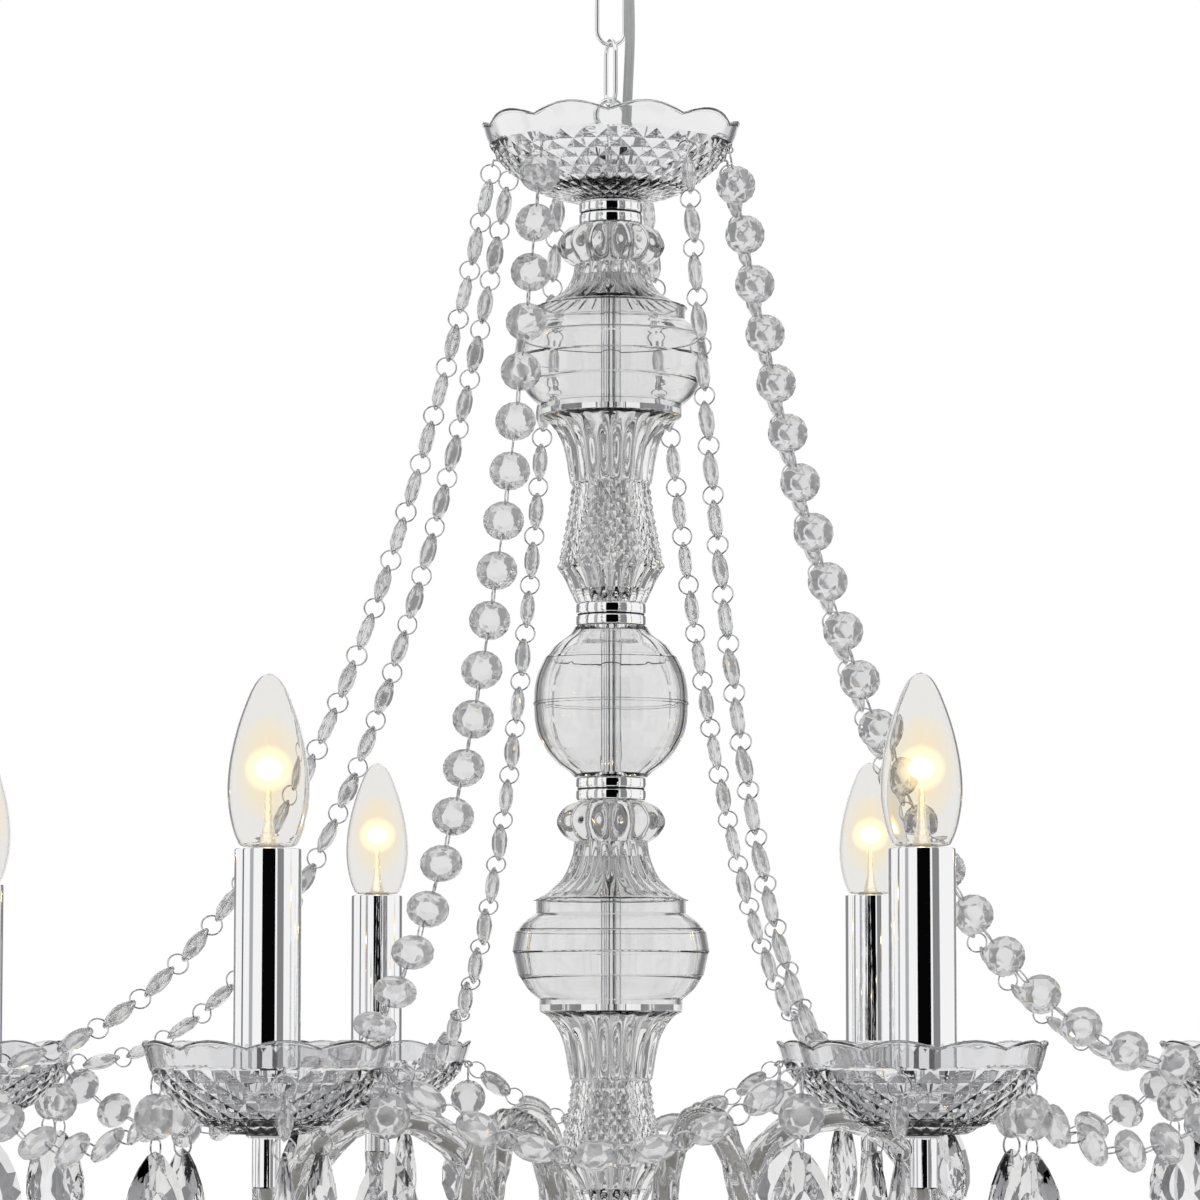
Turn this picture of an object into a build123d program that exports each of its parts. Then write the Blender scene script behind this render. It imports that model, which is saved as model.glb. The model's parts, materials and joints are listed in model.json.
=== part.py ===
from build123d import *
import math
import os
from typing import NamedTuple

# Crystal chandelier hung from a ceiling. Millimetres, +Z up, origin on the ceiling plane
# above the middle of the column. -Y is the front.

# ---- counts ------------------------------------------------------------------------------
ARM_COUNT = 8
FIRST_ARM_ANGLE = -67.5          # plan angle of arm 1, counted from +X
PETALS = 10                      # scallops round every glass dish
PINS_PER_PAN = 5                 # drops round a drip pan
STRAND_BEADS = 21                # beads from the crown dish to a drip pan
SWAG_BEADS = 7                   # beads between neighbouring drip pans
KNOP_LOBES = 16
FLUTES = 24
BALL_SIDES = 12
BOTTOM_DROPS = 10

# ---- ceiling fitting -----------------------------------------------------------------------
STRAP_LENGTH = 100.0
STRAP_WIDTH = 18.0
STRAP_THICK = 2.0
STRAP_DROP = 12.0                # how far the strap's middle is bent down from the ceiling
SCREW_SPACING = 80.0
SCREW_HOLE = 5.2
CANOPY_RADIUS = 60.0
CANOPY_HEIGHT = 56.0
CANOPY_WALL = 1.2
CANOPY_GAP = 0.5                 # between the canopy's edge and the ceiling
NIPPLE_DIA = 10.0
NIPPLE_BORE = 6.4
NUT_ACROSS = 17.0
NUT_THICK = 5.0
HOLE_EASE = 0.2                  # radial room of a hole round a tube or pin
BLOCK_SIZE = (30.0, 16.0, 14.0)
BLOCK_SIDE = 18.5                # the block's middle, beside the nut under the strap

# ---- collar loop, chain and cable ----------------------------------------------------------
LOOP_BASE_RADIUS = 13.0
LOOP_BASE_HEIGHT = 10.0
LOOP_RING_RADIUS = 8.25          # to the middle of its wire
LOOP_WIRE = 3.5
LINK_LENGTH = 36.0
LINK_WIDTH = 17.0
LINK_WIRE = 2.3
LINK_COUNT = 3
LINK_GAP = 0.3                   # play between the wires that carry each other
CHAIN_TURN = 20.0                # plan turn of the chain
CABLE_DIA = 5.0
CABLE_X = 7.7
CABLE_Y = -4.9
CABLE_END_GAP = 0.16             # its end leans, so its low edge just clears the eye's base
EYE_RING_RADIUS = 8.0
EYE_WIRE = 3.0
EYE_BASE_RADIUS = 13.0
EYE_BASE_HEIGHT = 12.0
EYE_NECK = 1.6

# ---- column ----------------------------------------------------------------------------------
ROD_DIA = 10.0
ROD_BORE = 6.4
GLASS_WALL = 3.0
EYE_TO_CROWN = 20.0              # from the eye's base down to the crown dish's floor
CROWN_RADIUS = 65.5
CROWN_HEIGHT = 41.0
CROWN_PETAL_RISE = 4.5
COLLAR_HEIGHT = 6.0
COLLAR_1_RADIUS = 16.0
COLLAR_RADIUS = 17.5
KNOP_RADIUS = 27.2
KNOP_HEIGHT = 20.5
BELL_TOP_RADIUS = 18.5
BELL_RADIUS = 39.0
BELL_HEIGHT = 22.0
LOWER_BELL_HEIGHT = 29.4
BOWL_TOP_RADIUS = 37.5
BOWL_RADIUS = 49.4
BOWL_FOOT_RADIUS = 35.7
BOWL_HEIGHT = 54.5
TRUMPET_HEIGHT = 34.5
TRUMPET_WAIST_RADIUS = 21.0
VASE_HEIGHT = 60.0
VASE_RADIUS = 27.0
VASE_FOOT_RADIUS = 17.5
BALL_RADIUS = 39.2
BALL_HEIGHT = 75.5
BALL_NECK_RADIUS = 15.0

# ---- hub and bottom --------------------------------------------------------------------------
HUB_RADIUS = 82.0
HUB_PLATE = 4.0
HUB_BOSS_RADIUS = 22.0
HUB_BOSS_HEIGHT = 12.0
COVER_DEPTH = 30.0
COVER_FOOT_RADIUS = 28.0
COVER_WALL = 1.5
BOTTOM_COLLARS = 4
BOTTOM_DISH_RADIUS = 46.0
BOTTOM_DISH_HEIGHT = 26.0
BOTTOM_NUT_RADIUS = 14.0
BOTTOM_NUT_HEIGHT = 8.0
FINIAL_RADIUS = 19.0

# ---- arms --------------------------------------------------------------------------------------
ARM_REACH = 367.0
ARM_INNER_RADIUS = 69.0
ARM_DIA = 13.0
ARM_BORE = 7.0
TROUGH_RADIUS = 95.0
BEND_ROOM = 4.0                  # half of what the two bends leave straight between them
ARCH_RADIUS = (ARM_REACH - ARM_INNER_RADIUS) / 2 - TROUGH_RADIUS - BEND_ROOM
FERRULE_RADIUS = 9.0
FERRULE_HEIGHT = 18.0
FERRULE_FLOOR = 3.0
ARCH_ABOVE_HUB = 16.0            # from the hub plate's top to the start of the arch
ARM_END_ABOVE_ARCH = 25.0        # from the start of the arch up to the arm's outer end
WIRE_DIA = 3.0

# ---- lamp at the end of an arm ---------------------------------------------------------------
CUP_RADIUS = 6.1
CUP_HEIGHT = 21.5
CUP_FLANGE_RADIUS = 9.0
CUP_FLANGE = 1.5
PAN_RADIUS = 54.0
PAN_HEIGHT = 40.0
PAN_FOOT_RADIUS = 18.0
PAN_PETAL_RISE = 3.0
PAN_WALL = 2.6
PAN_FLOOR = 4.0
SEAT_HEIGHT = 16.0
SEAT_TOP_RADIUS = 16.0
SLEEVE_DIA = 29.0
SLEEVE_WALL = 0.8
SLEEVE_HEIGHT = 102.0
HOLDER_DIA = 24.0
HOLDER_HEIGHT = 36.0
BULB_DIA = 35.6
BULB_HEIGHT = 75.0               # glass above the sleeve
BULB_CAP_DIA = 13.6
BULB_CAP_HEIGHT = 22.0
BULB_CAP_EASE = 0.5
BULB_TRAVEL_GAP = 0.6            # glass neck above the sleeve's edge

# ---- beads, rings, drops and pins ------------------------------------------------------------
BEAD_DIA = 20.0
BEAD_THICK = 6.5
BEAD_EDGE = 1.2
BEAD_TABLE_DIA = 9.0
BEAD_HOLE_OFFSET = 8.0
HOLE_DIA = 1.7
RING_DIA = 10.0                  # to the middle of its wire
RING_WIRE = 0.9
ALMOND_LENGTH = 50.0
ALMOND_WIDTH = 29.0
ALMOND_THICK = 9.0
ALMOND_HOLE_DROP = 3.6           # from the almond's top to its hole
PIN_DIA = 1.2
PIN_HEAD_RADIUS = 1.2
PIN_HEAD_THICK = 0.8
PIN_HEAD_GAP = 0.05              # between a pin's head and the glass
PIN_EYE_RADIUS = 1.75            # to the middle of its wire
PIN_EYE_WIRE = 0.9
PIN_DEPTH = 12.0                 # below a drip pan's rim
PIN_OUT = 1.75                   # how far a pin's stem stands out of the glass
CROWN_PIN_OUT = 3.1
PIN_SPREAD = 8.5                 # degrees between a drop's pin and the strand's pin beside it
CROWN_PIN_DEPTH = 16.0

# Plan angle of each strand's pin on the crown dish, counted from the strand's own arm, and
# the plan angle that each strand's beads face. They are as uneven as on the real light.
STRAND_TURN = (15.7, 5.0, -3.0, 7.0, 4.0, -11.0, -38.0, -9.0)
STRAND_FACING = (-8.0, -92.0, 5.0, -4.0, 12.0, -9.0, 3.0, -90.0)
SWAG_TWIST = (20.0, 75.0, 35.0, 60.0, 25.0, 70.0, 40.0, 55.0)


# ---- section of every glass dish -----------------------------------------------------------------
# share of the rim's radius at each share of the height, from the rim down
DISH_SHARES = ((1, 1), (0.955, 0.78), (0.89, 0.55), (0.74, 0.33), (0.56, 0.14))
DISH_STEEP = 4                   # this many of them have the full wall across


def dish_wall(radius, height, depth):
    """Outer radius of a dish at a depth below its rim, and how far it widens per mm of height."""
    share = 1 - depth / height
    for (upper, high), (lower, low) in zip(DISH_SHARES, DISH_SHARES[1:]):
        slope = radius * (upper - lower) / (height * (high - low))
        if share >= low:
            break
    return radius * lower + slope * height * (share - low), slope


# ---- heights, stacked down from the ceiling ----------------------------------------------------
CANOPY_Z = -CANOPY_GAP - CANOPY_HEIGHT
LOOP_BASE_Z = CANOPY_Z - LOOP_BASE_HEIGHT
LOOP_CENTRE_Z = LOOP_BASE_Z - EYE_NECK - LOOP_RING_RADIUS
LOOP_BOTTOM_Z = LOOP_CENTRE_Z - LOOP_RING_RADIUS
LINK_REACH = LINK_LENGTH - LINK_WIRE
LOOP_STEP = (LOOP_WIRE + LINK_WIRE) / 2 + LINK_GAP
LINK_STEP = LINK_WIRE + LINK_GAP
EYE_STEP = (EYE_WIRE + LINK_WIRE) / 2 + LINK_GAP


def link_top(number):
    """Height of the top wire's middle of chain link 1 (lowest) to LINK_COUNT (highest)."""
    below = LINK_COUNT - number
    return LOOP_BOTTOM_Z + LOOP_STEP - below * (LINK_REACH - LINK_STEP)


EYE_TOP_Z = link_top(1) - LINK_REACH + EYE_STEP
EYE_CENTRE_Z = EYE_TOP_Z - EYE_RING_RADIUS
EYE_BASE_TOP_Z = EYE_CENTRE_Z - EYE_RING_RADIUS - EYE_NECK
EYE_BASE_Z = EYE_BASE_TOP_Z - EYE_BASE_HEIGHT
CROWN_Z = EYE_BASE_Z - EYE_TO_CROWN - GLASS_WALL
CROWN_RIM_Z = CROWN_Z + CROWN_HEIGHT
KNOP_1_Z = CROWN_Z - 2 * COLLAR_HEIGHT - KNOP_HEIGHT
BOWL_1_RIM_Z = KNOP_1_Z - BELL_HEIGHT
TRUMPET_1_TOP_Z = BOWL_1_RIM_Z - BOWL_HEIGHT
VASE_1_FOOT_Z = TRUMPET_1_TOP_Z - TRUMPET_HEIGHT - VASE_HEIGHT
BALL_TOP_Z = VASE_1_FOOT_Z - 2 * COLLAR_HEIGHT
BALL_FOOT_Z = BALL_TOP_Z - BALL_HEIGHT
KNOP_2_Z = BALL_FOOT_Z - 2 * COLLAR_HEIGHT - KNOP_HEIGHT
BOWL_2_RIM_Z = KNOP_2_Z - LOWER_BELL_HEIGHT
TRUMPET_2_TOP_Z = BOWL_2_RIM_Z - BOWL_HEIGHT
VASE_2_FOOT_Z = TRUMPET_2_TOP_Z - TRUMPET_HEIGHT - VASE_HEIGHT
HUB_TOP_Z = VASE_2_FOOT_Z - 2 * COLLAR_HEIGHT
HUB_PLATE_TOP_Z = HUB_TOP_Z - HUB_BOSS_HEIGHT
HUB_Z = HUB_PLATE_TOP_Z - HUB_PLATE
COVER_Z = HUB_Z - COVER_DEPTH
BOTTOM_DISH_Z = COVER_Z - BOTTOM_COLLARS * COLLAR_HEIGHT - GLASS_WALL
BOTTOM_NUT_Z = BOTTOM_DISH_Z - BOTTOM_NUT_HEIGHT
ARCH_Z = HUB_PLATE_TOP_Z + ARCH_ABOVE_HUB
ARM_END_Z = ARCH_Z + ARM_END_ABOVE_ARCH
PAN_Z = ARM_END_Z + CUP_HEIGHT + CUP_FLANGE
PAN_RIM_Z = PAN_Z + PAN_HEIGHT
SEAT_Z = PAN_Z + PAN_FLOOR
SLEEVE_Z = SEAT_Z + SEAT_HEIGHT
SLEEVE_TOP_Z = SLEEVE_Z + SLEEVE_HEIGHT
HOLDER_TOP_Z = SLEEVE_TOP_Z - 2.0
HOLDER_Z = HOLDER_TOP_Z - HOLDER_HEIGHT


# ---- small helpers -----------------------------------------------------------------------------
def save(name, solids):
    """Write one named piece, or a group of like pieces, to its own file."""
    os.makedirs("parts", exist_ok=True)
    flat = []
    for item in solids:
        flat.extend(item.solids())
    export_step(Compound(children=flat), f"parts/{name}.step")


def turned(points):
    """Solid of revolution about Z from a closed outline of (radius, height) points."""
    outline = Polyline(*[(r, 0, z) for r, z in points], close=True)
    return revolve(make_face(outline), Axis.Z)


def tube(radius, bore, z, height):
    """Round tube standing on height z."""
    body = Cylinder(radius, height, align=(Align.CENTER, Align.CENTER, Align.MIN))
    hole = Cylinder(bore, height, align=(Align.CENTER, Align.CENTER, Align.MIN))
    return Pos(0, 0, z) * (body - hole)


def rod(radius, z, height):
    """Round rod standing on height z."""
    body = Cylinder(radius, height, align=(Align.CENTER, Align.CENTER, Align.MIN))
    return Pos(0, 0, z) * body


def turn(angle, item):
    """The item turned about the column's axis."""
    return Rot(0, 0, angle) * item


def at_arm(number, item):
    """The item, drawn round Z at the column, moved to the end of arm 1 to ARM_COUNT."""
    return turn(arm_angle(number), Pos(ARM_REACH, 0, 0) * item)


def arm_angle(number):
    return FIRST_ARM_ANGLE + (number - 1) * 360 / ARM_COUNT


def flat_ring(z, radius, height, bore):
    """Chrome collar with a rounded edge."""
    edge = height / 4
    return turned([
        (bore, z), (radius - edge, z), (radius, z + edge), (radius, z + height - edge),
        (radius - edge, z + height), (bore, z + height),
    ])


ROD_HOLE = ROD_DIA / 2 + HOLE_EASE


# ---- ceiling fitting -----------------------------------------------------------------------------
def ceiling_strap():
    half = STRAP_LENGTH / 2
    step = SCREW_SPACING / 2 - 12
    points = [
        (-half, 0), (half, 0), (half, -STRAP_THICK), (step, -STRAP_THICK),
        (step - STRAP_DROP, -STRAP_DROP), (STRAP_DROP - step, -STRAP_DROP),
        (-step, -STRAP_THICK), (-half, -STRAP_THICK),
    ]
    upper = [
        (step - 1, 0.1), (step - STRAP_DROP - 1, STRAP_THICK - STRAP_DROP),
        (STRAP_DROP - step + 1, STRAP_THICK - STRAP_DROP), (1 - step, 0.1),
    ]
    body = extrude(Plane.XZ * make_face(Polyline(*points, close=True)), STRAP_WIDTH / 2, both=True)
    hollow = extrude(Plane.XZ * make_face(Polyline(*upper, close=True)), STRAP_WIDTH, both=True)
    body = body - hollow
    body -= Cylinder(NIPPLE_DIA / 2 + HOLE_EASE, 4 * STRAP_DROP)
    for side in (-1, 1):
        body -= Pos(side * SCREW_SPACING / 2, 0, 0) * Cylinder(SCREW_HOLE / 2, 4 * STRAP_THICK)
    return body


def canopy():
    r = CANOPY_RADIUS
    w = CANOPY_WALL
    top = -CANOPY_GAP
    outer = [
        (r, top), (r, top - 14), (r - 4, top - 24), (r * 0.72, top - 36), (r * 0.42, top - 46),
        (LOOP_BASE_RADIUS + 2, CANOPY_Z),
    ]
    inner = [(x - w, z + w) for x, z in outer]
    inner[0] = (r - w, top)
    bore = NIPPLE_DIA / 2 + HOLE_EASE
    return turned(outer + [(bore, CANOPY_Z), (bore, CANOPY_Z + w)] + inner[::-1])


def nipple_nut(z):
    body = extrude(Pos(0, 0, z) * RegularPolygon(NUT_ACROSS / 2, 6, major_radius=False), NUT_THICK)
    return body - Pos(0, 0, z) * Cylinder(NIPPLE_DIA / 2 + 0.02, 3 * NUT_THICK)


def terminal_block():
    length, width, height = BLOCK_SIZE
    top = -STRAP_DROP
    body = Box(length, width, height, align=(Align.CENTER, Align.CENTER, Align.MAX))
    for side in (-1, 1):
        body -= Pos(side * length / 4, 0, -height / 2) * Rot(90, 0, 0) * Cylinder(2.0, 2 * width)
    return Pos(BLOCK_SIDE, 0, top) * Rot(0, 0, 90) * body


def collar_loop():
    """Screwed collar under the canopy, with the ring that carries the chain."""
    base = rod(LOOP_BASE_RADIUS, LOOP_BASE_Z, LOOP_BASE_HEIGHT)
    base = fillet(base.edges().group_by(Axis.Z)[0], 1.5)
    neck = rod(LOOP_WIRE * 0.8, LOOP_BASE_Z - EYE_NECK - 0.6, EYE_NECK + 1.0)
    ring = Pos(0, 0, LOOP_CENTRE_Z) * Rot(90, 0, 0) * Torus(LOOP_RING_RADIUS, LOOP_WIRE / 2)
    ring = turn(CHAIN_TURN + 90 * (LINK_COUNT % 2 + 1), ring)
    body = base + neck + ring
    return body - rod(NIPPLE_DIA / 2 + 0.02, CANOPY_Z - 7, 8)


def oval_link(top_z):
    """Oval chain link in the XZ plane, its top wire's middle at top_z."""
    bend = (LINK_WIDTH - LINK_WIRE) / 2
    side = LINK_REACH - 2 * bend
    middle = top_z - LINK_REACH / 2
    path = Wire([
        *Line((bend, 0, -side / 2), (bend, 0, side / 2)).edges(),
        *ThreePointArc((bend, 0, side / 2), (0, 0, side / 2 + bend), (-bend, 0, side / 2)).edges(),
        *Line((-bend, 0, side / 2), (-bend, 0, -side / 2)).edges(),
        *ThreePointArc((-bend, 0, -side / 2), (0, 0, -side / 2 - bend), (bend, 0, -side / 2)).edges(),
    ])
    section = Plane(origin=(bend, 0, -side / 2), z_dir=(0, 0, 1)) * Circle(LINK_WIRE / 2)
    return Pos(0, 0, middle) * sweep(section, path=path)


def chain_link(number):
    return turn(CHAIN_TURN + 90 * (number % 2), oval_link(link_top(number)))


# Supply cable beside the chain: route points from the collar loop down to the top eye.
CABLE_ROUTE = [
    (CABLE_X, CABLE_Y, LOOP_BASE_Z),
    (CABLE_X, CABLE_Y, LOOP_BASE_Z - 22),
    (CABLE_X + 1.6, CABLE_Y - 0.9, LOOP_BASE_Z - 48),
    (CABLE_X + 2.4, CABLE_Y - 1.6, LOOP_BASE_Z - 74),
    (CABLE_X + 1.2, CABLE_Y - 0.6, EYE_BASE_TOP_Z + 24),
    (CABLE_X, CABLE_Y, EYE_BASE_TOP_Z + CABLE_END_GAP),
]


def supply_cable():
    points = [Vector(p) for p in CABLE_ROUTE]
    radii = []
    for before, here, after in zip(points, points[1:], points[2:]):
        bend = math.radians((here - before).get_angle(after - here))
        run = min((here - before).length, (after - here).length)
        radii.append(0.45 * run / math.tan(bend / 2))
    print("supply cable radii:", [round(r) for r in radii])
    path = FilletPolyline(*points, radius=radii)
    section = Plane(origin=points[0], z_dir=points[1] - points[0]) * Circle(CABLE_DIA / 2)
    body = sweep(section, path=path)
    print("supply cable length:", round(path.length, 1), "volume check:",
          round(body.volume / (math.pi * CABLE_DIA ** 2 / 4 * path.length), 4))
    return body


def top_eye():
    """Turned base with the ring that hangs on the lowest link."""
    base = rod(EYE_BASE_RADIUS, EYE_BASE_Z, EYE_BASE_HEIGHT)
    base = chamfer(base.edges().group_by(Axis.Z)[0], 2.0)
    neck = rod(EYE_WIRE * 0.8, EYE_BASE_TOP_Z - 0.4, EYE_NECK + 1.0)
    ring = Pos(0, 0, EYE_CENTRE_Z) * Rot(90, 0, 0) * Torus(EYE_RING_RADIUS, EYE_WIRE / 2)
    body = base + neck + turn(CHAIN_TURN, ring)
    return body - rod(ROD_DIA / 2 + 0.02, EYE_BASE_Z - 1, 9)


def stem_rod():
    top = EYE_BASE_Z + 8
    bottom = BOTTOM_NUT_Z + 2
    return tube(ROD_DIA / 2, ROD_BORE / 2, bottom, top - bottom)


def stem_nuts():
    """Nut and spacer on the crown dish, and the round nut under the bottom dish."""
    floor = CROWN_Z + GLASS_WALL
    upper = tube(ROD_DIA / 2 + 3, ROD_HOLE, floor, EYE_BASE_Z - floor)
    washer = tube(ROD_DIA / 2 + 9, ROD_DIA / 2 + 3.1, floor, 2.5)
    lower = flat_ring(BOTTOM_NUT_Z, BOTTOM_NUT_RADIUS, BOTTOM_NUT_HEIGHT, ROD_HOLE)
    return [upper, washer, lower]


# ---- glass of the column -------------------------------------------------------------------------
def fluted(sections, count):
    """Ruled solid through star-shaped sections: (z, crest radius, depth of the flute)."""
    faces = []
    for z, radius, depth in sections:
        points = []
        for i in range(2 * count):
            r = radius - depth * (i % 2)
            a = math.pi * i / count
            points.append((r * math.cos(a), r * math.sin(a)))
        faces.append(Pos(0, 0, z) * Polygon(*points, align=None))
    return loft(faces, ruled=True)


def knop(z):
    """Lobed glass knop standing on height z."""
    h = KNOP_HEIGHT
    r = KNOP_RADIUS
    body = fluted([
        (z, BELL_TOP_RADIUS, 1.0), (z + 0.2 * h, 0.88 * r, 2.4), (z + 0.5 * h, r, 3.2),
        (z + 0.8 * h, 0.88 * r, 2.4), (z + h, COLLAR_RADIUS, 1.0),
    ], KNOP_LOBES)
    return body - rod(ROD_HOLE, z - 1, h + 2)


def bell(z, h):
    """Fluted bell of height h that flares down to the bowl's rim."""
    a = BELL_TOP_RADIUS
    b = BELL_RADIUS
    w = GLASS_WALL
    body = fluted([
        (z, b, 0.8), (z + 0.16 * h, a + 0.62 * (b - a), 1.2), (z + 0.4 * h, a + 0.3 * (b - a), 1.2),
        (z + 0.7 * h, a + 0.08 * (b - a), 1.0), (z + h, a, 0.6),
    ], FLUTES)
    hollow = turned([
        (0, z - 1), (b - w, z - 1), (b - w, z), (a + 0.62 * (b - a) - w - 1, z + 0.16 * h),
        (a + 0.3 * (b - a) - w - 1, z + 0.4 * h), (a - w - 1, z + 0.7 * h), (0, z + 0.7 * h),
    ])
    return body - hollow - rod(ROD_HOLE, z - 1, h + 2)


def bowl(rim_z):
    """Clear bowl with a floor, widest a little above its middle."""
    w = GLASS_WALL
    h = BOWL_HEIGHT
    foot = rim_z - h
    r = BOWL_TOP_RADIUS
    big = BOWL_RADIUS
    outer = [
        (r, rim_z), (r, rim_z - 0.11 * h), (0.95 * big, rim_z - 0.275 * h),
        (big, rim_z - 0.468 * h), (0.943 * big, rim_z - 0.679 * h),
        (BOWL_FOOT_RADIUS, rim_z - 0.9 * h), (BOWL_FOOT_RADIUS, foot),
    ]
    inner = [(x - w, z) for x, z in outer[:-1]] + [(BOWL_FOOT_RADIUS - w, foot + w)]
    return turned(outer + [(ROD_HOLE, foot), (ROD_HOLE, foot + w)] + inner[::-1])


def trumpet_vase(top_z):
    """Fluted trumpet over a diamond-cut vase with a fluted foot, one piece of glass."""
    w = GLASS_WALL
    waist = top_z - TRUMPET_HEIGHT
    foot = waist - VASE_HEIGHT
    t = TRUMPET_HEIGHT
    v = VASE_HEIGHT
    a = TRUMPET_WAIST_RADIUS
    b = BOWL_FOOT_RADIUS
    sections = [
        (top_z, b, 0.6), (top_z - 0.12 * t, a + 0.62 * (b - a), 1.2),
        (top_z - 0.4 * t, a + 0.25 * (b - a), 1.2), (waist + 0.1 * t, a, 0.8),
        (waist, a - 1, 0.6), (waist - 0.3 * v, a + 1.6, 0.8), (waist - 0.6 * v, 0.9 * VASE_RADIUS, 0.8),
        (waist - 0.7 * v, VASE_RADIUS, 1.0), (waist - 0.85 * v, 0.8 * VASE_RADIUS, 1.2),
        (foot, VASE_FOOT_RADIUS, 0.8),
    ]
    body = fluted(sections, FLUTES)
    inner = [(r - d - w, z) for z, r, d in sections[:-1]]
    hollow = turned(
        [(0, top_z + 1), (b - w, top_z + 1)] + [(b - w, top_z)] + inner[1:]
        + [(VASE_FOOT_RADIUS - w, foot + w), (0, foot + w)]
    )
    return body - hollow - rod(ROD_HOLE, foot - 1, w + 2)


def glass_ball():
    """Hollow ball cut with flat facets."""
    def stack(shrink):
        r = BALL_RADIUS - shrink
        n = BALL_NECK_RADIUS - shrink
        h = BALL_HEIGHT - 2 * shrink
        low = BALL_FOOT_Z + shrink
        rows = [(0, n), (0.16, 0.72 * r), (0.47, r), (0.82, 0.74 * r), (1, n)]
        faces = []
        for share, radius in rows:
            shape = RegularPolygon(radius, BALL_SIDES, major_radius=False)
            faces.append(Pos(0, 0, low + share * h) * shape)
        return loft(faces, ruled=True)

    return stack(0) - stack(GLASS_WALL) - rod(ROD_HOLE, BALL_FOOT_Z - 1, BALL_HEIGHT + 2)


def petal_dish(z, radius, height, foot, wall, floor, rise):
    """Glass dish whose rim rises in PETALS rounded scallops; its middle has the rod's hole."""
    outer = [(radius * a, z + height * b) for a, b in DISH_SHARES] + [(foot, z)]
    inner = [(x - wall, zz) for x, zz in outer[:DISH_STEEP]]
    low_x, low_z = outer[DISH_STEEP]
    inner += [(low_x - 0.6 * wall, low_z + wall), (foot, z + floor)]
    body = turned([(0, z)] + outer[::-1] + inner + [(0, z + floor)])
    half = radius * math.tan(math.pi / PETALS)
    top = z + height
    cusp = top - rise
    notch = make_face(
        Wire([
            *ThreePointArc((0, cusp), (0.5 * half, top - 0.25 * rise), (half, top + 0.02)).edges(),
            *Line((half, top + 0.02), (half, top + 3)).edges(),
            *Line((half, top + 3), (-half, top + 3)).edges(),
            *Line((-half, top + 3), (-half, top + 0.02)).edges(),
            *ThreePointArc((-half, top + 0.02), (-0.5 * half, top - 0.25 * rise), (0, cusp)).edges(),
        ])
    )
    tool = extrude(Plane.YZ * notch, radius + 5)
    for i in range(PETALS):
        body -= turn((i + 0.5) * 360 / PETALS, Pos(radius * 0.7, 0, 0) * tool)
    return body


# ---- hub ---------------------------------------------------------------------------------------
def hub_body():
    """Plate with a boss, bored for the arms' wires."""
    top = HUB_TOP_Z
    body = turned([
        (ROD_HOLE, HUB_Z), (HUB_RADIUS, HUB_Z), (HUB_RADIUS, HUB_PLATE_TOP_Z),
        (HUB_BOSS_RADIUS + 8, HUB_PLATE_TOP_Z), (HUB_BOSS_RADIUS, HUB_PLATE_TOP_Z + 3),
        (HUB_BOSS_RADIUS, top), (ROD_HOLE, top),
    ])
    hole = Pos(ARM_INNER_RADIUS, 0, 0) * rod(WIRE_DIA / 2 + HOLE_EASE, HUB_Z - 1, HUB_PLATE + 2)
    for number in range(1, ARM_COUNT + 1):
        body -= turn(arm_angle(number), hole)
    return body


def hub_cover():
    """Spun cover that closes the wiring space under the hub plate."""
    w = COVER_WALL
    r = HUB_RADIUS - 3
    d = COVER_DEPTH
    outer = [
        (r, HUB_Z), (r - 3, HUB_Z - 0.3 * d), (r - 16, HUB_Z - 0.6 * d),
        (COVER_FOOT_RADIUS + 12, HUB_Z - 0.85 * d), (COVER_FOOT_RADIUS, COVER_Z),
    ]
    inner = [(x - w, z) for x, z in outer[:-1]] + [(COVER_FOOT_RADIUS - w, COVER_Z + w)]
    return turned(outer + [(ROD_HOLE, COVER_Z), (ROD_HOLE, COVER_Z + w)] + inner[::-1])


def finial():
    """Faceted glass ball on a screwed chrome cap."""
    r = FINIAL_RADIUS
    top = BOTTOM_NUT_Z
    rows = [(0, 0.35), (0.14, 0.7), (0.34, 0.96), (0.5, 1.0), (0.66, 0.96), (0.86, 0.7), (1, 0.35)]
    faces = []
    for share, size in rows:
        z = top - 2 * r + 2 * r * share
        faces.append(Pos(0, 0, z) * RegularPolygon(r * size, BALL_SIDES, major_radius=False))
    return loft(faces, ruled=True)


# ---- arms ----------------------------------------------------------------------------------------
def arm_path():
    """Up from the hub, over the arch, down into the trough and up to the lamp, in XZ."""
    arch = Vector(ARM_INNER_RADIUS + ARCH_RADIUS, 0, ARCH_Z)
    trough = Vector(ARM_REACH - TROUGH_RADIUS, 0, ARM_END_Z)
    across = trough - arch
    lean = math.asin((ARCH_RADIUS + TROUGH_RADIUS) / across.length)
    slope = lean - math.atan2(across.Z, across.X)
    normal = Vector(math.sin(slope), 0, math.cos(slope))
    start = arch + normal * ARCH_RADIUS
    end = trough - normal * TROUGH_RADIUS
    half = (math.pi - (math.pi / 2 - slope)) / 2
    arch_middle = arch + Vector(math.cos(math.pi - half), 0, math.sin(math.pi - half)) * ARCH_RADIUS
    low = (-math.pi / 2 - slope) / 2
    trough_middle = trough + Vector(math.cos(low), 0, math.sin(low)) * TROUGH_RADIUS
    foot = Vector(ARM_INNER_RADIUS, 0, HUB_PLATE_TOP_Z + FERRULE_FLOOR)
    arch_start = Vector(ARM_INNER_RADIUS, 0, ARCH_Z)
    tip = Vector(ARM_REACH, 0, ARM_END_Z)
    return Wire([
        *Line(foot, arch_start).edges(),
        *ThreePointArc(arch_start, arch_middle, start).edges(),
        *Line(start, end).edges(),
        *ThreePointArc(end, trough_middle, tip).edges(),
    ])


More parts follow.
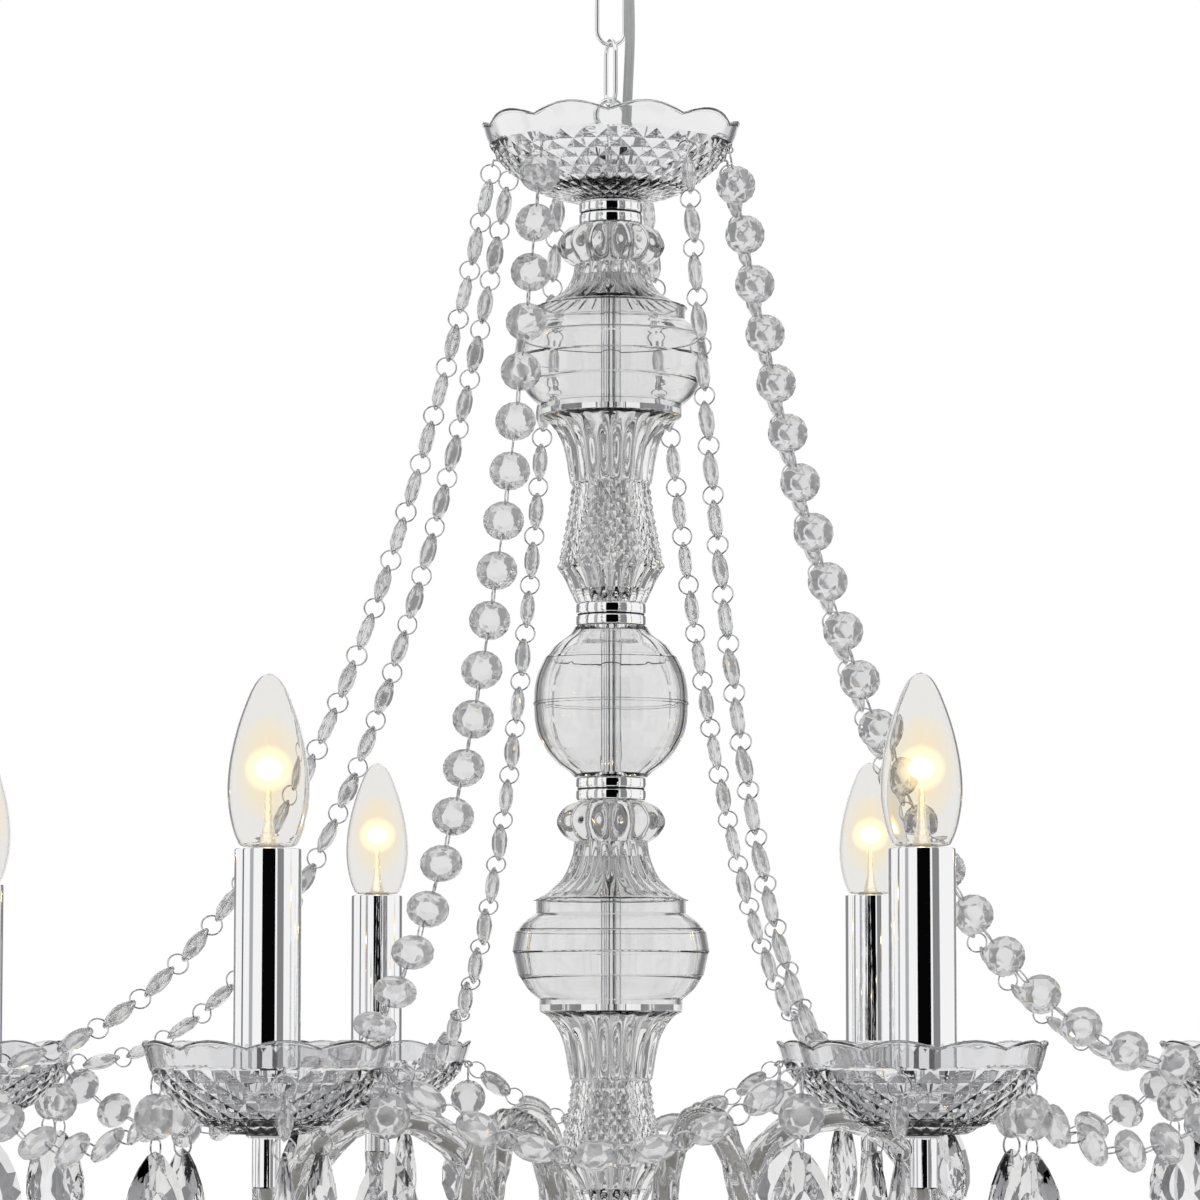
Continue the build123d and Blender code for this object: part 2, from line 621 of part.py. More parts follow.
def along_arm(radius):
    """Round bar of the given radius along the arm's path."""
    path = arm_path()
    section = Plane(origin=path @ 0, z_dir=(0, 0, 1)) * Circle(radius)
    return sweep(section, path=path)


def arm_glass():
    body = along_arm(ARM_DIA / 2)
    return body - along_arm(ARM_BORE / 2)


def arm_wire():
    """Twin wire from the hub's wiring space through the arm up to the lampholder."""
    low = Pos(ARM_INNER_RADIUS, 0, 0) * rod(
        WIRE_DIA / 2, HUB_Z - 6, HUB_PLATE_TOP_Z + FERRULE_FLOOR - HUB_Z + 6)
    high = Pos(ARM_REACH, 0, 0) * rod(WIRE_DIA / 2, ARM_END_Z, HOLDER_Z - ARM_END_Z)
    return low + along_arm(WIRE_DIA / 2) + high


def ferrule():
    """Cup on the hub plate that holds an arm's inner end."""
    z = HUB_PLATE_TOP_Z
    bore = ARM_DIA / 2 + HOLE_EASE
    body = turned([
        (WIRE_DIA / 2 + HOLE_EASE, z), (FERRULE_RADIUS + 1.5, z), (FERRULE_RADIUS, z + 2),
        (FERRULE_RADIUS, z + FERRULE_HEIGHT - 5), (bore, z + FERRULE_HEIGHT - 5),
        (bore, z + FERRULE_FLOOR), (WIRE_DIA / 2 + HOLE_EASE, z + FERRULE_FLOOR),
    ])
    return Pos(ARM_INNER_RADIUS, 0, 0) * body


def arm_cup():
    """Chrome nipple in the arm's outer end, with the flange that carries the drip pan."""
    bore = WIRE_DIA / 2 + 0.4
    z = ARM_END_Z
    top = SEAT_Z + 3
    hole = NIPPLE_DIA / 2
    return turned([
        (bore, z), (CUP_RADIUS, z), (CUP_RADIUS, z + CUP_HEIGHT), (CUP_FLANGE_RADIUS, z + CUP_HEIGHT),
        (CUP_FLANGE_RADIUS, PAN_Z), (hole, PAN_Z), (hole, top), (bore, top),
    ])


def drip_pan():
    """Petalled pan, bored for the nipple and for its pins."""
    body = petal_dish(PAN_Z, PAN_RADIUS, PAN_HEIGHT, PAN_FOOT_RADIUS, PAN_WALL, PAN_FLOOR,
                      PAN_PETAL_RISE)
    body -= rod(NIPPLE_DIA / 2 + HOLE_EASE, PAN_Z - 1, PAN_FLOOR + 2)
    return PAN_PINS.bored(body, [180 + a for a in PAN_DROP_ANGLES + PAN_CHAIN_ANGLES])


def candle_seat():
    """Turned cup that stands on the pan's floor and centres the candle sleeve."""
    z = SEAT_Z
    bore = NIPPLE_DIA / 2 + 0.02
    inner = SLEEVE_DIA / 2 - SLEEVE_WALL - HOLE_EASE
    return turned([
        (bore, z), (12, z), (10, z + 4), (12, z + 10), (SEAT_TOP_RADIUS, z + SEAT_HEIGHT),
        (inner, z + SEAT_HEIGHT), (inner, z + SEAT_HEIGHT + 3), (inner - 1.2, z + SEAT_HEIGHT + 3),
        (8, z + 10), (bore, z + 8),
    ])


def candle_sleeve():
    r = SLEEVE_DIA / 2
    return tube(r, r - SLEEVE_WALL, SLEEVE_Z, SLEEVE_HEIGHT)


def lampholder():
    """Holder for the bulb's screw cap on its threaded stem."""
    z = HOLDER_Z
    bore = BULB_CAP_DIA / 2 + BULB_CAP_EASE
    body = tube(HOLDER_DIA / 2, bore, z + 8, HOLDER_HEIGHT - 8)
    floor = rod(HOLDER_DIA / 2, z, 8)
    stem = tube(NIPPLE_DIA / 2, WIRE_DIA / 2 + 0.4, SEAT_Z + 3, z - SEAT_Z - 3)
    return body + floor + stem


BULB_CAP_TOP_Z = SLEEVE_TOP_Z + BULB_TRAVEL_GAP


def bulb():
    """Candle bulb: hollow glass, screw cap and the stem that carries the filament."""
    z = BULB_CAP_TOP_Z
    r = BULB_DIA / 2
    h = BULB_HEIGHT
    w = 1.0
    neck = BULB_CAP_DIA / 2
    outer = [
        (neck, z), (0.62 * r, z + 0.07 * h), (0.88 * r, z + 0.17 * h), (r, z + 0.31 * h),
        (0.95 * r, z + 0.46 * h), (0.78 * r, z + 0.63 * h), (0.5 * r, z + 0.8 * h),
        (0.2 * r, z + 0.94 * h), (0, z + h),
    ]
    inner = [(x - w, zz) for x, zz in outer[1:-2]] + [(0.12 * r, z + 0.92 * h), (0, z + 0.95 * h)]
    glass = turned(outer + inner[::-1] + [(neck - w, z)])
    cap = rod(neck, z - BULB_CAP_HEIGHT, BULB_CAP_HEIGHT)
    cap = chamfer(cap.edges().group_by(Axis.Z)[0], 3.0)
    stem = turned([(0, z), (4.0, z), (2.2, z + 12), (1.6, z + 0.38 * h), (0, z + 0.38 * h)])
    return [glass, cap, stem]


# ---- beads, rings, pins and drops --------------------------------------------------------------
def round_bead():
    """Round cut bead in the XZ plane, its holes above and below its middle."""
    r = BEAD_DIA / 2
    t = BEAD_THICK / 2
    e = BEAD_EDGE / 2
    body = turned([(0, -t), (BEAD_TABLE_DIA / 2, -t), (r, -e), (r, e), (BEAD_TABLE_DIA / 2, t), (0, t)])
    for side in (-1, 1):
        body -= Pos(side * BEAD_HOLE_OFFSET, 0, 0) * Cylinder(HOLE_DIA / 2, 2 * BEAD_THICK)
    return body


def almond():
    """Almond drop, its hole at the origin and its length along -X, its faces across Z."""
    steps = 7
    drop = ALMOND_HOLE_DROP
    outline = []
    for side in (1, -1):
        for i in range(steps):
            share = i / steps if side == 1 else 1 - i / steps
            swell = math.sin(math.pi * share ** 1.25) ** 0.8 if 0 < share < 1 else 0
            outline.append((drop - share * ALMOND_LENGTH, side * swell * ALMOND_WIDTH / 2))
    middle = drop - 0.55 * ALMOND_LENGTH

    def section(size, z):
        points = [(middle + (x - middle) * size, y * size) for x, y in outline]
        return Pos(0, 0, z) * Polygon(*points, align=None)

    t = ALMOND_THICK / 2
    body = loft([section(0.42, -t), section(1, -0.8), section(1, 0.8), section(0.42, t)], ruled=True)
    return body - Cylinder(HOLE_DIA / 2, 2 * ALMOND_THICK)


BEAD = round_bead()
ALMOND = almond()
RING = Torus(RING_DIA / 2, RING_WIRE / 2)
EYE = Torus(PIN_EYE_RADIUS, PIN_EYE_WIRE / 2)
# a ring's wire lies this far along the pull from the end of the pin's stem
HANG = 2 * PIN_EYE_RADIUS - (PIN_EYE_WIRE + RING_WIRE) / 2 - 0.2


def placed(item, middle, along, facing):
    """The item with its X along the pull and its Z (the way it faces) as given."""
    return Plane(origin=middle, x_dir=along, z_dir=facing) * item


def pin(place, pull, wire):
    """Stem through the glass, a round head inside and an eye outside that hangs along the pull.

    place is the stem's outer end, the way it points and its reach inward to the head, and wire
    the way the ring crosses the eye.
    """
    root, out, reach = place
    inner = Plane(origin=root - out * reach, z_dir=out)
    stem = inner * rod(PIN_DIA / 2, -PIN_HEAD_THICK / 2, reach + PIN_HEAD_THICK / 2)
    head = inner * rod(PIN_HEAD_RADIUS, -PIN_HEAD_THICK, PIN_HEAD_THICK)
    eye = Plane(origin=root + pull * PIN_EYE_RADIUS, x_dir=pull, z_dir=wire) * EYE
    return stem + head + eye


def catenary(start, end, length):
    """Point at each distance along a chain of the given length hung between two points."""
    flat = Vector(end.X - start.X, end.Y - start.Y, 0)
    span = flat.length
    drop = end.Z - start.Z
    stretch = math.sqrt(length ** 2 - drop ** 2) / span
    low = 1e-6
    high = 20.0
    for _ in range(60):
        mid = (low + high) / 2
        if math.sinh(mid) / mid < stretch:
            low = mid
        else:
            high = mid
    size = span / (2 * mid)
    shift = span / 2 - size * math.atanh(drop / length)
    first = size * math.sinh(-shift / size)

    def point(distance):
        u = shift + size * math.asinh((distance + first) / size)
        z = start.Z + size * (math.cosh((u - shift) / size) - math.cosh(shift / size))
        return Vector(start.X, start.Y, z) + flat * (u / span)

    return point


def string(start, end, count, facing, twist):
    """Beads and rings of a chain between two pins' stems: (beads, rings, first and last pull).

    facing is the plan angle that hanging beads face, or None, and twist the turn of the beads
    about the chain from lying across its plane.
    """
    length = 2 * HANG + RING_DIA * (count + 1) + 2 * BEAD_HOLE_OFFSET * count
    point = catenary(start, end, length)
    flat = Vector(end.X - start.X, end.Y - start.Y, 0).normalized()
    across = flat.cross(Vector(0, 0, 1))
    if facing is not None:
        gaze = Vector(math.cos(math.radians(facing)), math.sin(math.radians(facing)), 0)
        twist = math.degrees(math.atan2(gaze.dot(flat), gaze.dot(across)))
    beads = []
    rings = []
    pulls = []
    distance = HANG
    for i in range(2 * count + 1):
        step = RING_DIA if i % 2 == 0 else 2 * BEAD_HOLE_OFFSET
        a = point(distance)
        b = point(distance + step)
        along = (b - a).normalized()
        wander = math.radians(twist + 4.5 * math.sin(1.7 * i))
        up = along.cross(across) * -1
        face = across * math.cos(wander) + up * math.sin(wander)
        side = along.cross(face)
        middle = (a + b) * 0.5
        if i % 2 == 0:
            rings.append(placed(RING, middle, along, side))
            pulls.append((along, face))
        else:
            beads.append(placed(BEAD, middle, along, face))
        distance += step
    return beads, rings, pulls[0], (pulls[-1][0] * -1, pulls[-1][1])


def drop(place):
    """Ring, bead, ring and almond hanging under a pin: (pin, rings, bead, almond)."""
    root, out, _ = place
    down = Vector(0, 0, -1)
    wire = out.cross(down).normalized()
    first = root + down * HANG
    ring_1 = placed(RING, first + down * RING_DIA / 2, down, wire.cross(down))
    bead = placed(BEAD, first + down * (RING_DIA + BEAD_HOLE_OFFSET), down, wire)
    second = first + down * (RING_DIA + 2 * BEAD_HOLE_OFFSET)
    ring_2 = placed(RING, second + down * RING_DIA / 2, down, wire.cross(down))
    stone = placed(ALMOND, second + down * RING_DIA, down * -1, wire)
    return pin(place, down, wire), [ring_1, ring_2], bead, stone


class PinRing(NamedTuple):
    """Pins through the wall of a glass dish, all at one height."""

    radius: float                # of the dish's rim
    height: float                # of the dish
    wall: float
    rim_z: float
    depth: float                 # of the pins below the rim
    stand: float                 # of a stem's outer end from the glass

    def place(self, centre, angle):
        """Outer end of a pin's stem, the way it points and its reach inward to the head."""
        outer, slope = dish_wall(self.radius, self.height, self.depth)
        a = math.radians(angle)
        out = Vector(math.cos(a), math.sin(a), 0)
        root = centre + out * (outer + self.stand) + Vector(0, 0, self.rim_z - self.depth)
        return root, out, self.stand + self.wall + slope * PIN_HEAD_RADIUS + PIN_HEAD_GAP

    def bored(self, glass, angles):
        """The dish, drawn round Z, with a hole for the pin at each angle."""
        for angle in angles:
            root, out, reach = self.place(Vector(0, 0, 0), angle)
            glass -= Plane(origin=root - out * reach, z_dir=out) * rod(
                PIN_DIA / 2 + HOLE_EASE, 0, reach)
        return glass


DROP_STEP = 360 / PINS_PER_PAN
PAN_PINS = PinRing(PAN_RADIUS, PAN_HEIGHT, PAN_WALL, PAN_RIM_Z, PIN_DEPTH, PIN_OUT)
CROWN_PINS = PinRing(CROWN_RADIUS, CROWN_HEIGHT, GLASS_WALL, CROWN_RIM_Z, CROWN_PIN_DEPTH,
                     CROWN_PIN_OUT)
BOTTOM_PINS = PinRing(BOTTOM_DISH_RADIUS, BOTTOM_DISH_HEIGHT, GLASS_WALL,
                      BOTTOM_DISH_Z + BOTTOM_DISH_HEIGHT, PIN_DEPTH, PIN_OUT)
# plan angles of a pan's pins, counted from the way to the column: its drops, then the strand
# and the two swags, each beside a drop
PAN_DROP_ANGLES = [i * DROP_STEP for i in range(PINS_PER_PAN)]
PAN_CHAIN_ANGLES = [PIN_SPREAD, PIN_SPREAD - DROP_STEP, DROP_STEP - PIN_SPREAD]
CROWN_ANGLES = [arm_angle(n) + STRAND_TURN[n - 1] for n in range(1, ARM_COUNT + 1)]
BOTTOM_ANGLES = [(i + 0.5) * 360 / BOTTOM_DROPS for i in range(BOTTOM_DROPS)]


def pan_pin(number, angle):
    """Pin place on the pan of an arm; the angle is counted from the way to the column."""
    a = math.radians(arm_angle(number))
    centre = Vector(math.cos(a), math.sin(a), 0) * ARM_REACH
    return PAN_PINS.place(centre, arm_angle(number) + 180 + angle)


def build():
    nodes = {}
    arms = range(1, ARM_COUNT + 1)
    middle = Vector(0, 0, 0)

    # ceiling and suspension
    nodes["ceiling_strap"] = [ceiling_strap()]
    nodes["canopy"] = [canopy()]
    nodes["canopy_nipple"] = [tube(NIPPLE_DIA / 2, NIPPLE_BORE / 2, CANOPY_Z - 6, -CANOPY_Z + 4)]
    strap_low = -STRAP_DROP
    nodes["nipple_nuts"] = [
        nipple_nut(strap_low + STRAP_THICK), nipple_nut(strap_low - NUT_THICK),
        nipple_nut(CANOPY_Z + CANOPY_WALL),
    ]
    nodes["terminal_block"] = [terminal_block()]
    nodes["collar_loop"] = [collar_loop()]
    for number in range(1, LINK_COUNT + 1):
        nodes[f"chain_link_{number}"] = [chain_link(number)]
    nodes["supply_cable"] = [supply_cable()]
    nodes["top_eye"] = [top_eye()]

    # column
    crown = petal_dish(CROWN_Z, CROWN_RADIUS, CROWN_HEIGHT, COLLAR_1_RADIUS, GLASS_WALL,
                       GLASS_WALL, CROWN_PETAL_RISE)
    crown -= rod(ROD_HOLE, CROWN_Z - 1, GLASS_WALL + 2)
    nodes["crown_dish"] = [CROWN_PINS.bored(crown, CROWN_ANGLES)]
    nodes["stem_rod"] = [stem_rod()]
    nodes["stem_nuts"] = stem_nuts()
    collars = []
    for top, radius, rows in ((CROWN_Z, COLLAR_1_RADIUS, 2), (VASE_1_FOOT_Z, COLLAR_RADIUS, 2),
                              (BALL_FOOT_Z, COLLAR_RADIUS, 2), (VASE_2_FOOT_Z, COLLAR_RADIUS, 2),
                              (COVER_Z, COLLAR_RADIUS, BOTTOM_COLLARS)):
        for row in range(1, rows + 1):
            collars.append(flat_ring(top - row * COLLAR_HEIGHT, radius, COLLAR_HEIGHT, ROD_HOLE))
    nodes["collar_rings"] = collars
    nodes["upper_bell"] = [knop(KNOP_1_Z), bell(BOWL_1_RIM_Z, BELL_HEIGHT)]
    nodes["upper_bowl"] = [bowl(BOWL_1_RIM_Z)]
    nodes["upper_vase"] = [trumpet_vase(TRUMPET_1_TOP_Z)]
    nodes["glass_ball"] = [glass_ball()]
    nodes["lower_bell"] = [knop(KNOP_2_Z), bell(BOWL_2_RIM_Z, LOWER_BELL_HEIGHT)]
    nodes["lower_bowl"] = [bowl(BOWL_2_RIM_Z)]
    nodes["lower_vase"] = [trumpet_vase(TRUMPET_2_TOP_Z)]
    nodes["hub_plate"] = [hub_body()]
    nodes["hub_cover"] = [hub_cover()]
    dish = petal_dish(BOTTOM_DISH_Z, BOTTOM_DISH_RADIUS, BOTTOM_DISH_HEIGHT, COLLAR_RADIUS,
                      GLASS_WALL, GLASS_WALL, PAN_PETAL_RISE)
    dish -= rod(ROD_HOLE, BOTTOM_DISH_Z - 1, GLASS_WALL + 2)
    nodes["bottom_dish"] = [BOTTOM_PINS.bored(dish, BOTTOM_ANGLES)]
    nodes["finial"] = [finial()]

    # arms and lamps
    arm = arm_glass()
    lamp = bulb()
    for number in arms:
        nodes[f"arm_{number}"] = [turn(arm_angle(number), arm)]
        nodes[f"bulb_{number}"] = [at_arm(number, piece) for piece in lamp]
    nodes["arm_ferrules"] = [turn(arm_angle(n), ferrule()) for n in arms]
    nodes["arm_wires"] = [turn(arm_angle(n), arm_wire()) for n in arms]
    pan = drip_pan()
    nodes["arm_cups"] = [at_arm(n, arm_cup()) for n in arms] + [at_arm(n, candle_seat()) for n in arms]
    nodes["drip_pans"] = [at_arm(n, pan) for n in arms]
    nodes["candle_sleeves"] = [at_arm(n, candle_sleeve()) for n in arms]
    nodes["lampholders"] = [at_arm(n, lampholder()) for n in arms]

    # trim
    pins = []
    beads = []
    rings = []
    stones = []
    for number in arms:
        down, left, right = PAN_CHAIN_ANGLES
        after = number % ARM_COUNT + 1
        chains = [
            (CROWN_PINS.place(middle, CROWN_ANGLES[number - 1]), pan_pin(number, down),
             STRAND_BEADS, STRAND_FACING[number - 1], None),
            (pan_pin(number, left), pan_pin(after, right), SWAG_BEADS, None,
             SWAG_TWIST[number - 1]),
        ]
        for start, end, count, facing, twist in chains:
            more, links, first, last = string(start[0], end[0], count, facing, twist)
            beads += more
            rings += links
            pins += [pin(start, *first), pin(end, *last)]
        for i, angle in enumerate(PAN_DROP_ANGLES):
            nail, links, bead, stone = drop(pan_pin(number, angle))
            pins.append(nail)
            if i == PINS_PER_PAN // 2:
                nodes[f"outer_drop_{number}"] = links + [bead, stone]
            else:
                rings += links
                beads.append(bead)
                stones.append(stone)
    for angle in BOTTOM_ANGLES:
        nail, links, bead, stone = drop(BOTTOM_PINS.place(middle, angle))
        pins.append(nail)
        rings += links
        beads.append(bead)
        stones.append(stone)
    nodes["dish_pins"] = pins
    nodes["beads"] = beads
    nodes["link_rings"] = rings
    nodes["almond_drops"] = stones
    for name, solids in nodes.items():
        save(name, solids)
    print("pieces:", len(nodes), "drip pan rim:", round(PAN_RIM_Z, 2), "reach:", ARM_REACH)
    print("crown rim:", round(CROWN_RIM_Z, 2), "eye base:", round(EYE_BASE_TOP_Z, 2))


build()
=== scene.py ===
"""Crystal chandelier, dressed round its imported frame.

Lengths in the classes are millimetres, as a maker would write them, and every mesh is
made in metres in the frame's own place: origin on the ceiling, +Z up, -Y to the front.
"""

import json
import logging
import math
from dataclasses import dataclass
from enum import Enum
from typing import Callable, Optional, Sequence

import bmesh
import bpy
import numpy as np
from mathutils import Matrix, Vector

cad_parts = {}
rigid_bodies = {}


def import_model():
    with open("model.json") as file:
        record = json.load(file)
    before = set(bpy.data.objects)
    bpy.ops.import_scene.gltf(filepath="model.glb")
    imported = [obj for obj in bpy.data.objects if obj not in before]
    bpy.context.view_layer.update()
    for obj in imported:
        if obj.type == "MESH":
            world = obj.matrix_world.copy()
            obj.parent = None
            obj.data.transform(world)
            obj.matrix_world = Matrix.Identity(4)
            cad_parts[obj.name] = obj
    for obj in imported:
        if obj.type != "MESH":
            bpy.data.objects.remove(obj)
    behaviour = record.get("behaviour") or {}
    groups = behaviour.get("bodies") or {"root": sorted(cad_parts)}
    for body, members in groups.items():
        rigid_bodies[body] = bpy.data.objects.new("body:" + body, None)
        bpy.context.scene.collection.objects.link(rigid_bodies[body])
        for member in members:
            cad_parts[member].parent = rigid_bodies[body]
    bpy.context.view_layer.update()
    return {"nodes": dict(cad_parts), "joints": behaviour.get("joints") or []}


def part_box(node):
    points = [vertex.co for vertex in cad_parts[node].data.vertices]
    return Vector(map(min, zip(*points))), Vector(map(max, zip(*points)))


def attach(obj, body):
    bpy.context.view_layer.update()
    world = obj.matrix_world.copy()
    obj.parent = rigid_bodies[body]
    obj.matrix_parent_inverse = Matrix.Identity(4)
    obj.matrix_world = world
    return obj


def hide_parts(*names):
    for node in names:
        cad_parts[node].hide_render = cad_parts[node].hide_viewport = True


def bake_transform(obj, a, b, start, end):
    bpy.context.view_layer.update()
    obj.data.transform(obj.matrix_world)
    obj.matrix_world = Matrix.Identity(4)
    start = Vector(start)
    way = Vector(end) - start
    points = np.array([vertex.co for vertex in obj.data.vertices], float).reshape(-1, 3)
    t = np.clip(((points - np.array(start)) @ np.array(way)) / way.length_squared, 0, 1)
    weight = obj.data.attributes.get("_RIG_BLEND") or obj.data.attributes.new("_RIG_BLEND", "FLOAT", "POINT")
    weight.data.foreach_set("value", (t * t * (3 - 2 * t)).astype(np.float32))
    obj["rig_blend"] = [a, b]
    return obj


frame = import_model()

LOG = logging.getLogger("chandelier")
MM = 0.001
TURN = 2 * math.pi
UP = Vector((0, 0, 1))
COLUMN = "chandelier"
CEILING = "ceiling"
ARMS = range(1, 9)
# petals round the rim of every dish
PETALS = 10
# edges that turn more than this stay crisp in a smooth piece
CRISP_EDGE = math.radians(32)
# facets of a stone that lean less than this from each other are one
SAME_FACET = math.radians(1.5)
# how far a dressed face stands inside the solid's own
SHY = 0.1

Outline = Sequence[tuple[float, float]]
Mesh = tuple[np.ndarray, list]
# from the distance along a path and the angles round it to the radius there
Section = Callable[[float, np.ndarray], np.ndarray]
# from angles, row, radius and height to the change of radius and of height
Relief = Callable[[np.ndarray, int, float, float], tuple[np.ndarray, np.ndarray | float]]


# ---- colours, nodes and objects -------------------------------------------------------


def linear(code: str) -> tuple[float, float, float, float]:
    """An sRGB hex colour as the linear values that a shader takes.

    Args:
        code: six hex digits.

    Returns:
        Red, green, blue and an alpha of one.
    """
    parts = [int(code[i:i + 2], 16) / 255 for i in (0, 2, 4)]
    red, green, blue = (c / 12.92 if c <= 0.04045 else ((c + 0.055) / 1.055) ** 2.4
                        for c in parts)
    return red, green, blue, 1.0


def add_node(tree: bpy.types.NodeTree, kind: str, inputs: dict,
             **settings: object) -> bpy.types.Node:
    """Add a node with its settings, values and links.

    Args:
        tree: the node tree.
        kind: the node's type name.
        inputs: socket name or number to a value, or to (node, output name) for a link.
        settings: plain properties of the node.

    Returns:
        The new node.
    """
    node = tree.nodes.new(kind)
    for key, value in settings.items():
        setattr(node, key, value)
    for key, value in inputs.items():
        if isinstance(value, tuple) and isinstance(value[0], bpy.types.Node):
            tree.links.new(value[0].outputs[value[1]], node.inputs[key])
        else:
            node.inputs[key].default_value = value
    return node


def linked(name: str, data: bpy.types.ID) -> bpy.types.Object:
    """Put data into the scene.

    Args:
        name: the object's name.
        data: its mesh, curve or camera.

    Returns:
        The new object.
    """
    item = bpy.data.objects.new(name, data)
    bpy.context.scene.collection.objects.link(item)
    return item


# ---- finishes -------------------------------------------------------------------------


@dataclass(frozen=True)
class Skin:
    """Anything that a surface can show. Each kind says what its shader is."""

    name: str

    def material(self) -> bpy.types.Material:
        """The material of this skin, made once and then shared.

        Returns:
            The material.
        """
        made = bpy.data.materials.get(self.name)
        if made is None:
            made = bpy.data.materials.new(self.name)
            made.use_nodes = True
            tree = made.node_tree
            tree.nodes.clear()
            add_node(tree, "ShaderNodeOutputMaterial", {"Surface": self.surface(tree)})
        return made

    def surface(self, tree: bpy.types.NodeTree) -> tuple[bpy.types.Node, str]:
        """The shader node and its output."""
        raise NotImplementedError


@dataclass(frozen=True)
class Finish(Skin):
    """A real material: how it was made, its colour and how its surface scatters light."""

    slot: str
    colour: str
    roughness: float
    metallic: float = 0.0
    transmission: float = 0.0
    ior: float = 1.5
    coat: float = 0.0
    # height and spacing of the surface's unevenness, in millimetres
    bump: float = 0.0
    spacing: float = 4.0
    # how much the roughness wanders over the surface
    wander: float = 0.0
    glow: str = ""
    strength: float = 0.0

    def surface(self, tree: bpy.types.NodeTree) -> tuple[bpy.types.Node, str]:
        """The principled shader with this finish's unevenness.

        Args:
            tree: the material's node tree.

        Returns:
            The shader node and its output.
        """
        place = add_node(tree, "ShaderNodeTexCoord", {})
        grain = add_node(tree, "ShaderNodeTexNoise", {
            "Vector": (place, "Object"), "Scale": 1 / (self.spacing * MM), "Detail": 2.0,
        })
        inputs = {
            "Base Color": linear(self.colour), "Metallic": self.metallic, "IOR": self.ior,
            "Transmission Weight": self.transmission, "Coat Weight": self.coat,
            "Roughness": self.roughness,
        }
        if self.wander:
            spread = add_node(tree, "ShaderNodeMapRange", {
                "Value": (grain, "Fac"), "To Min": max(0.0, self.roughness - self.wander),
                "To Max": self.roughness + self.wander,
            })
            inputs["Roughness"] = (spread, "Result")
        if self.bump:
            relief = add_node(tree, "ShaderNodeBump", {
                "Height": (grain, "Fac"), "Distance": self.bump * MM, "Strength": 1.0,
            })
            inputs["Normal"] = (relief, "Normal")
        if self.glow:
            inputs["Emission Color"] = linear(self.glow)
            inputs["Emission Strength"] = self.strength
        return add_node(tree, "ShaderNodeBsdfPrincipled", inputs), "BSDF"


@dataclass(frozen=True)
class Halo(Skin):
    """Warm light scattered in the bulb's gas and glass: a see-through skin that adds light."""

    slot: str
    colour: str
    strength: float
    # what it leaves of the light behind it
    tint: str
    # half its width and half its height, as shares of the bulb's radius
    width: float
    height: float
    # how fast the light and its tint fade from the skin's middle to its edge
    fall: float = 2.2

    def surface(self, tree: bpy.types.NodeTree) -> tuple[bpy.types.Node, str]:
        """The additive shader of this skin.

        Args:
            tree: the material's node tree.

        Returns:
            The shader node and its output.
        """
        edge = add_node(tree, "ShaderNodeLayerWeight", {"Blend": 0.5})
        heart = add_node(tree, "ShaderNodeMath", {0: 1.0, 1: (edge, "Facing")},
                         operation="SUBTRACT")
        fade = add_node(tree, "ShaderNodeMath", {0: (heart, "Value"), 1: self.fall},
                        operation="POWER")
        plain = add_node(tree, "ShaderNodeBsdfTransparent", {})
        tinted = add_node(tree, "ShaderNodeBsdfTransparent", {"Color": linear(self.tint)})
        clear = add_node(tree, "ShaderNodeMixShader", {
            0: (fade, "Value"), 1: (plain, "BSDF"), 2: (tinted, "BSDF")})
        power = add_node(tree, "ShaderNodeMath", {0: (fade, "Value"), 1: self.strength},
                         operation="MULTIPLY")
        light = add_node(tree, "ShaderNodeEmission", {
            "Color": linear(self.colour), "Strength": (power, "Value"),
        })
        return add_node(tree, "ShaderNodeAddShader", {
            0: (clear, "Shader"), 1: (light, "Emission")}), "Shader"


@dataclass(frozen=True)
class CardPaint(Skin):
    """Plain paint of a studio card, which gives its own light."""

    colour: str

    def surface(self, tree: bpy.types.NodeTree) -> tuple[bpy.types.Node, str]:
        """The emitting shader and its output."""
        return add_node(tree, "ShaderNodeEmission", {
            "Color": linear(self.colour), "Strength": 1.0}), "Emission"


# pressed and fire-polished crystal glass: clear, bright, with a slow waviness from the mould
CRYSTAL = Finish("pressed_crystal_glass", "crystal", "E3E3E3", 0.0, transmission=1.0, ior=1.5,
                 bump=0.03, spacing=14.0)
# the same glass in the dishes, whose wheel-cut pyramids flash light and dark
DISH_GLASS = Finish("wheel_cut_crystal_glass", "crystal", "ECECED", 0.0, transmission=1.0,
                    ior=1.52)
# deep flutes fold the light many times, so the vases are drawn in the clearest glass
VASE_GLASS = Finish("fluted_crystal_glass", "crystal", "F3F3F3", 0.0, transmission=1.0,
                    ior=1.47, bump=0.03, spacing=14.0)
# thin clear glass of the blown bowls and ball: slow waves from the blowing
BLOWN = Finish("blown_crystal_glass", "crystal", "EFEFEF", 0.0, transmission=1.0, ior=1.5,
               bump=0.05, spacing=22.0)
# drawn and twisted glass tube of the arms: a little more body than the pressed pieces
ARM_GLASS = Finish("twisted_glass_tube", "arm_glass", "E6E6E6", 0.01, transmission=1.0, ior=1.5,
                   bump=0.04, spacing=9.0)
# machine-cut almonds and finial: flat facets that flash dark and light
CUT_GLASS = Finish("cut_bead_glass", "bead_crystal", "EDEDEE", 0.0, transmission=1.0, ior=1.57)
# the strung round beads are milkier in their faces, as their backs are only half polished
BEAD_GLASS = Finish("half_polished_bead_glass", "bead_crystal", "E7E7E8", 0.08,
                    transmission=0.89, ior=1.55, wander=0.04, spacing=3.0)
# bright nickel-chrome plate on turned and drawn brass: a mirror with faint polishing waves
CHROME = Finish("chrome_plated_brass", "chrome", "F3F3F4", 0.03, metallic=1.0, wander=0.015,
                spacing=6.0)
